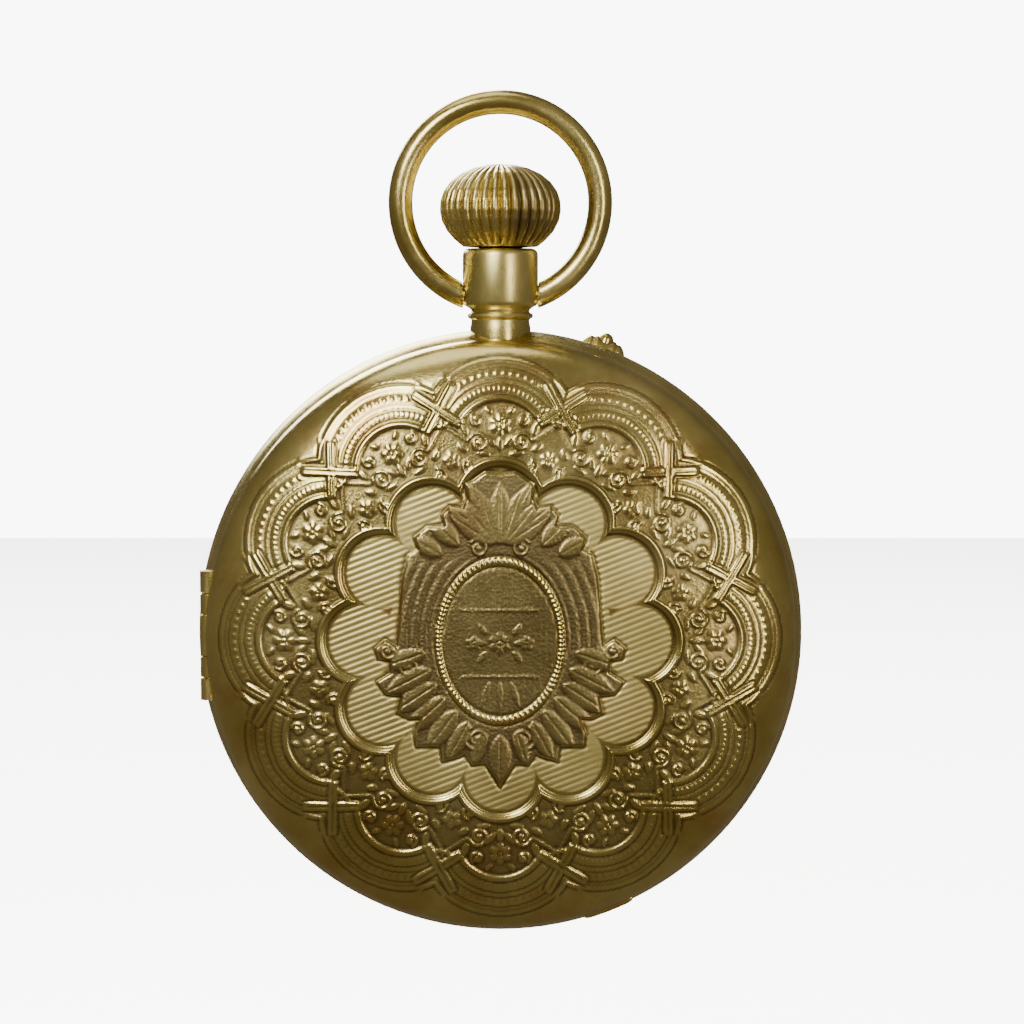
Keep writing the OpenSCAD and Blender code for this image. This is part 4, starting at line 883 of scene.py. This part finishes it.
# ---------------------------------------------------------------- setting pin
# A small domed stud soldered to the band at 11 o'clock, with a slot for a fingernail, and
# the gold pin inside it that is pressed to set the hands.
guard_turn = (0, math.radians(-20), 0)
guard_lo, guard_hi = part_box("pin_guard")
guard_at = Vector((centre.x, (guard_lo.y + guard_hi.y) / 2, centre.z))
guard_foot, guard_rise = 15.85, 1.33
bpy.ops.object.select_all(action="DESELECT")
bpy.ops.mesh.primitive_uv_sphere_add(segments=96, ring_count=48, radius=1)
guard = bpy.context.object
for point in guard.data.vertices:
    ball = point.co.copy()
    slot = math.exp(-(ball.x / 0.36) ** 4) * max(0.0, ball.z)
    bead = 1 - 0.1 * math.exp(-((abs(ball.x) - 0.5) / 0.1) ** 2)
    lifted = guard_rise * ball.z ** 0.8 * bead - 0.22 * slot if ball.z > 0 else 0.1 * ball.z
    point.co = Vector((1.33 * ball.x, 0.63 * ball.y * bead, guard_foot + lifted)) * mm
tidy_shell(guard, "pin_guard_dome", 60)
set_down(guard, "pin_guard_dome", guard_turn, guard_at)
pin = turned("setting_pin_stud", [
    (0, 13.4), (0.36, 13.4), (0.4, 13.44), (0.4, 16.95), (0.38, 17.08), (0.3, 17.2), (0.16, 17.3),
    (0, 17.33)], 48, 40, guard_turn, guard_at)
fit(guard, "case", fluted_gold, "case_gold", "pin_guard")
fit(pin, "setter", bow_gold, "case_gold", "setting_pin")

# ---------------------------------------------------------------- studio
# A pale floor under the watch, a dim room with soft lights, and the camera behind it.
bpy.ops.object.select_all(action="DESELECT")
bpy.ops.mesh.primitive_plane_add(size=1)
floor = bpy.context.object
floor.scale = (3.4, 3.2, 1)
set_down(floor, "floor", (0, 0, 0), (0, 0, cad_lo.z - 105 * mm))
wire, shader, paper = begin("pale_floor")
grain = noise(wire, wire.node("ShaderNodeTexCoord", out=3), 4 * mm, 4)
join(shader, "Base Color", mix(wire, grain, (0.88, 0.88, 0.87), (0.92, 0.92, 0.91)))
shader.inputs["Roughness"].default_value = 0.9
floor.data.materials.append(paper)
floor.visible_glossy = False

world = bpy.data.worlds.new("studio")
bpy.context.scene.world = world
world.use_nodes = True
sky = Wire(world.node_tree)
heading = sky.node("ShaderNodeTexCoord", out=0)
behind = sky.node("ShaderNodeSeparateXYZ", {"Vector": heading}, out=1).clamp(-0.5, 0.35)
above = sky.node("ShaderNodeSeparateXYZ", {"Vector": heading}, out=2).clamp(-0.35, 0.75)
room = mix(sky, above, (0.15, 0.125, 0.085), (0.26, 0.235, 0.18))
room = mix(sky, behind, (0.15, 0.13, 0.10), room)
seen = sky.node("ShaderNodeLightPath", out=0)
shade = world.node_tree.nodes["Background"]
world.node_tree.links.new(mix(sky, seen, room, (9, 9, 9)).end, shade.inputs["Color"])


def lamp(name, at, size, power, colour=(1, 1, 1), tall=None, aim=centre):
    """A soft light that looks at the watch, or at another point."""
    bpy.ops.object.light_add(type="AREA", location=Vector(at) * mm)
    made = bpy.context.object
    made.name = name
    made.data.shape, made.data.size = "RECTANGLE", size * mm
    made.data.size_y = (tall or size) * mm
    made.data.energy, made.data.color = power, colour
    made.rotation_euler = (aim - made.location).to_track_quat("-Z", "Y").to_euler()


lamp("window", (140, 330, 150), 120, 0.95, (1, 0.98, 0.92), 150)
lamp("right_strip", (-190, 330, 30), 36, 0.34, (1, 0.92, 0.80), 200)
lamp("top_soft", (60, 40, 300), 200, 0.22, (1, 0.99, 0.96))
lamp("front_soft", (120, -320, 200), 240, 2.0, (1, 1, 1))
lamp("floor_glow", (0, -300, 1500), 2400, 420.0, (1, 1, 1), 2400, Vector((0, -0.3, 0)))
bpy.context.object.visible_glossy = False

bpy.ops.object.camera_add()
camera = bpy.context.object
camera.name = "camera"
camera.data.lens, camera.data.sensor_width = 100, 36
view_wide, lift = 56.0, math.radians(4)
distance = view_wide * camera.data.lens / camera.data.sensor_width
aim = Vector((-0.63, 0, -21.6))
camera.location = (aim + Vector((0, math.cos(lift), math.sin(lift))) * distance) * mm
camera.rotation_euler = (aim * mm - camera.location).to_track_quat("-Z", "Y").to_euler()
camera.data.clip_start = mm
bpy.context.scene.camera = camera
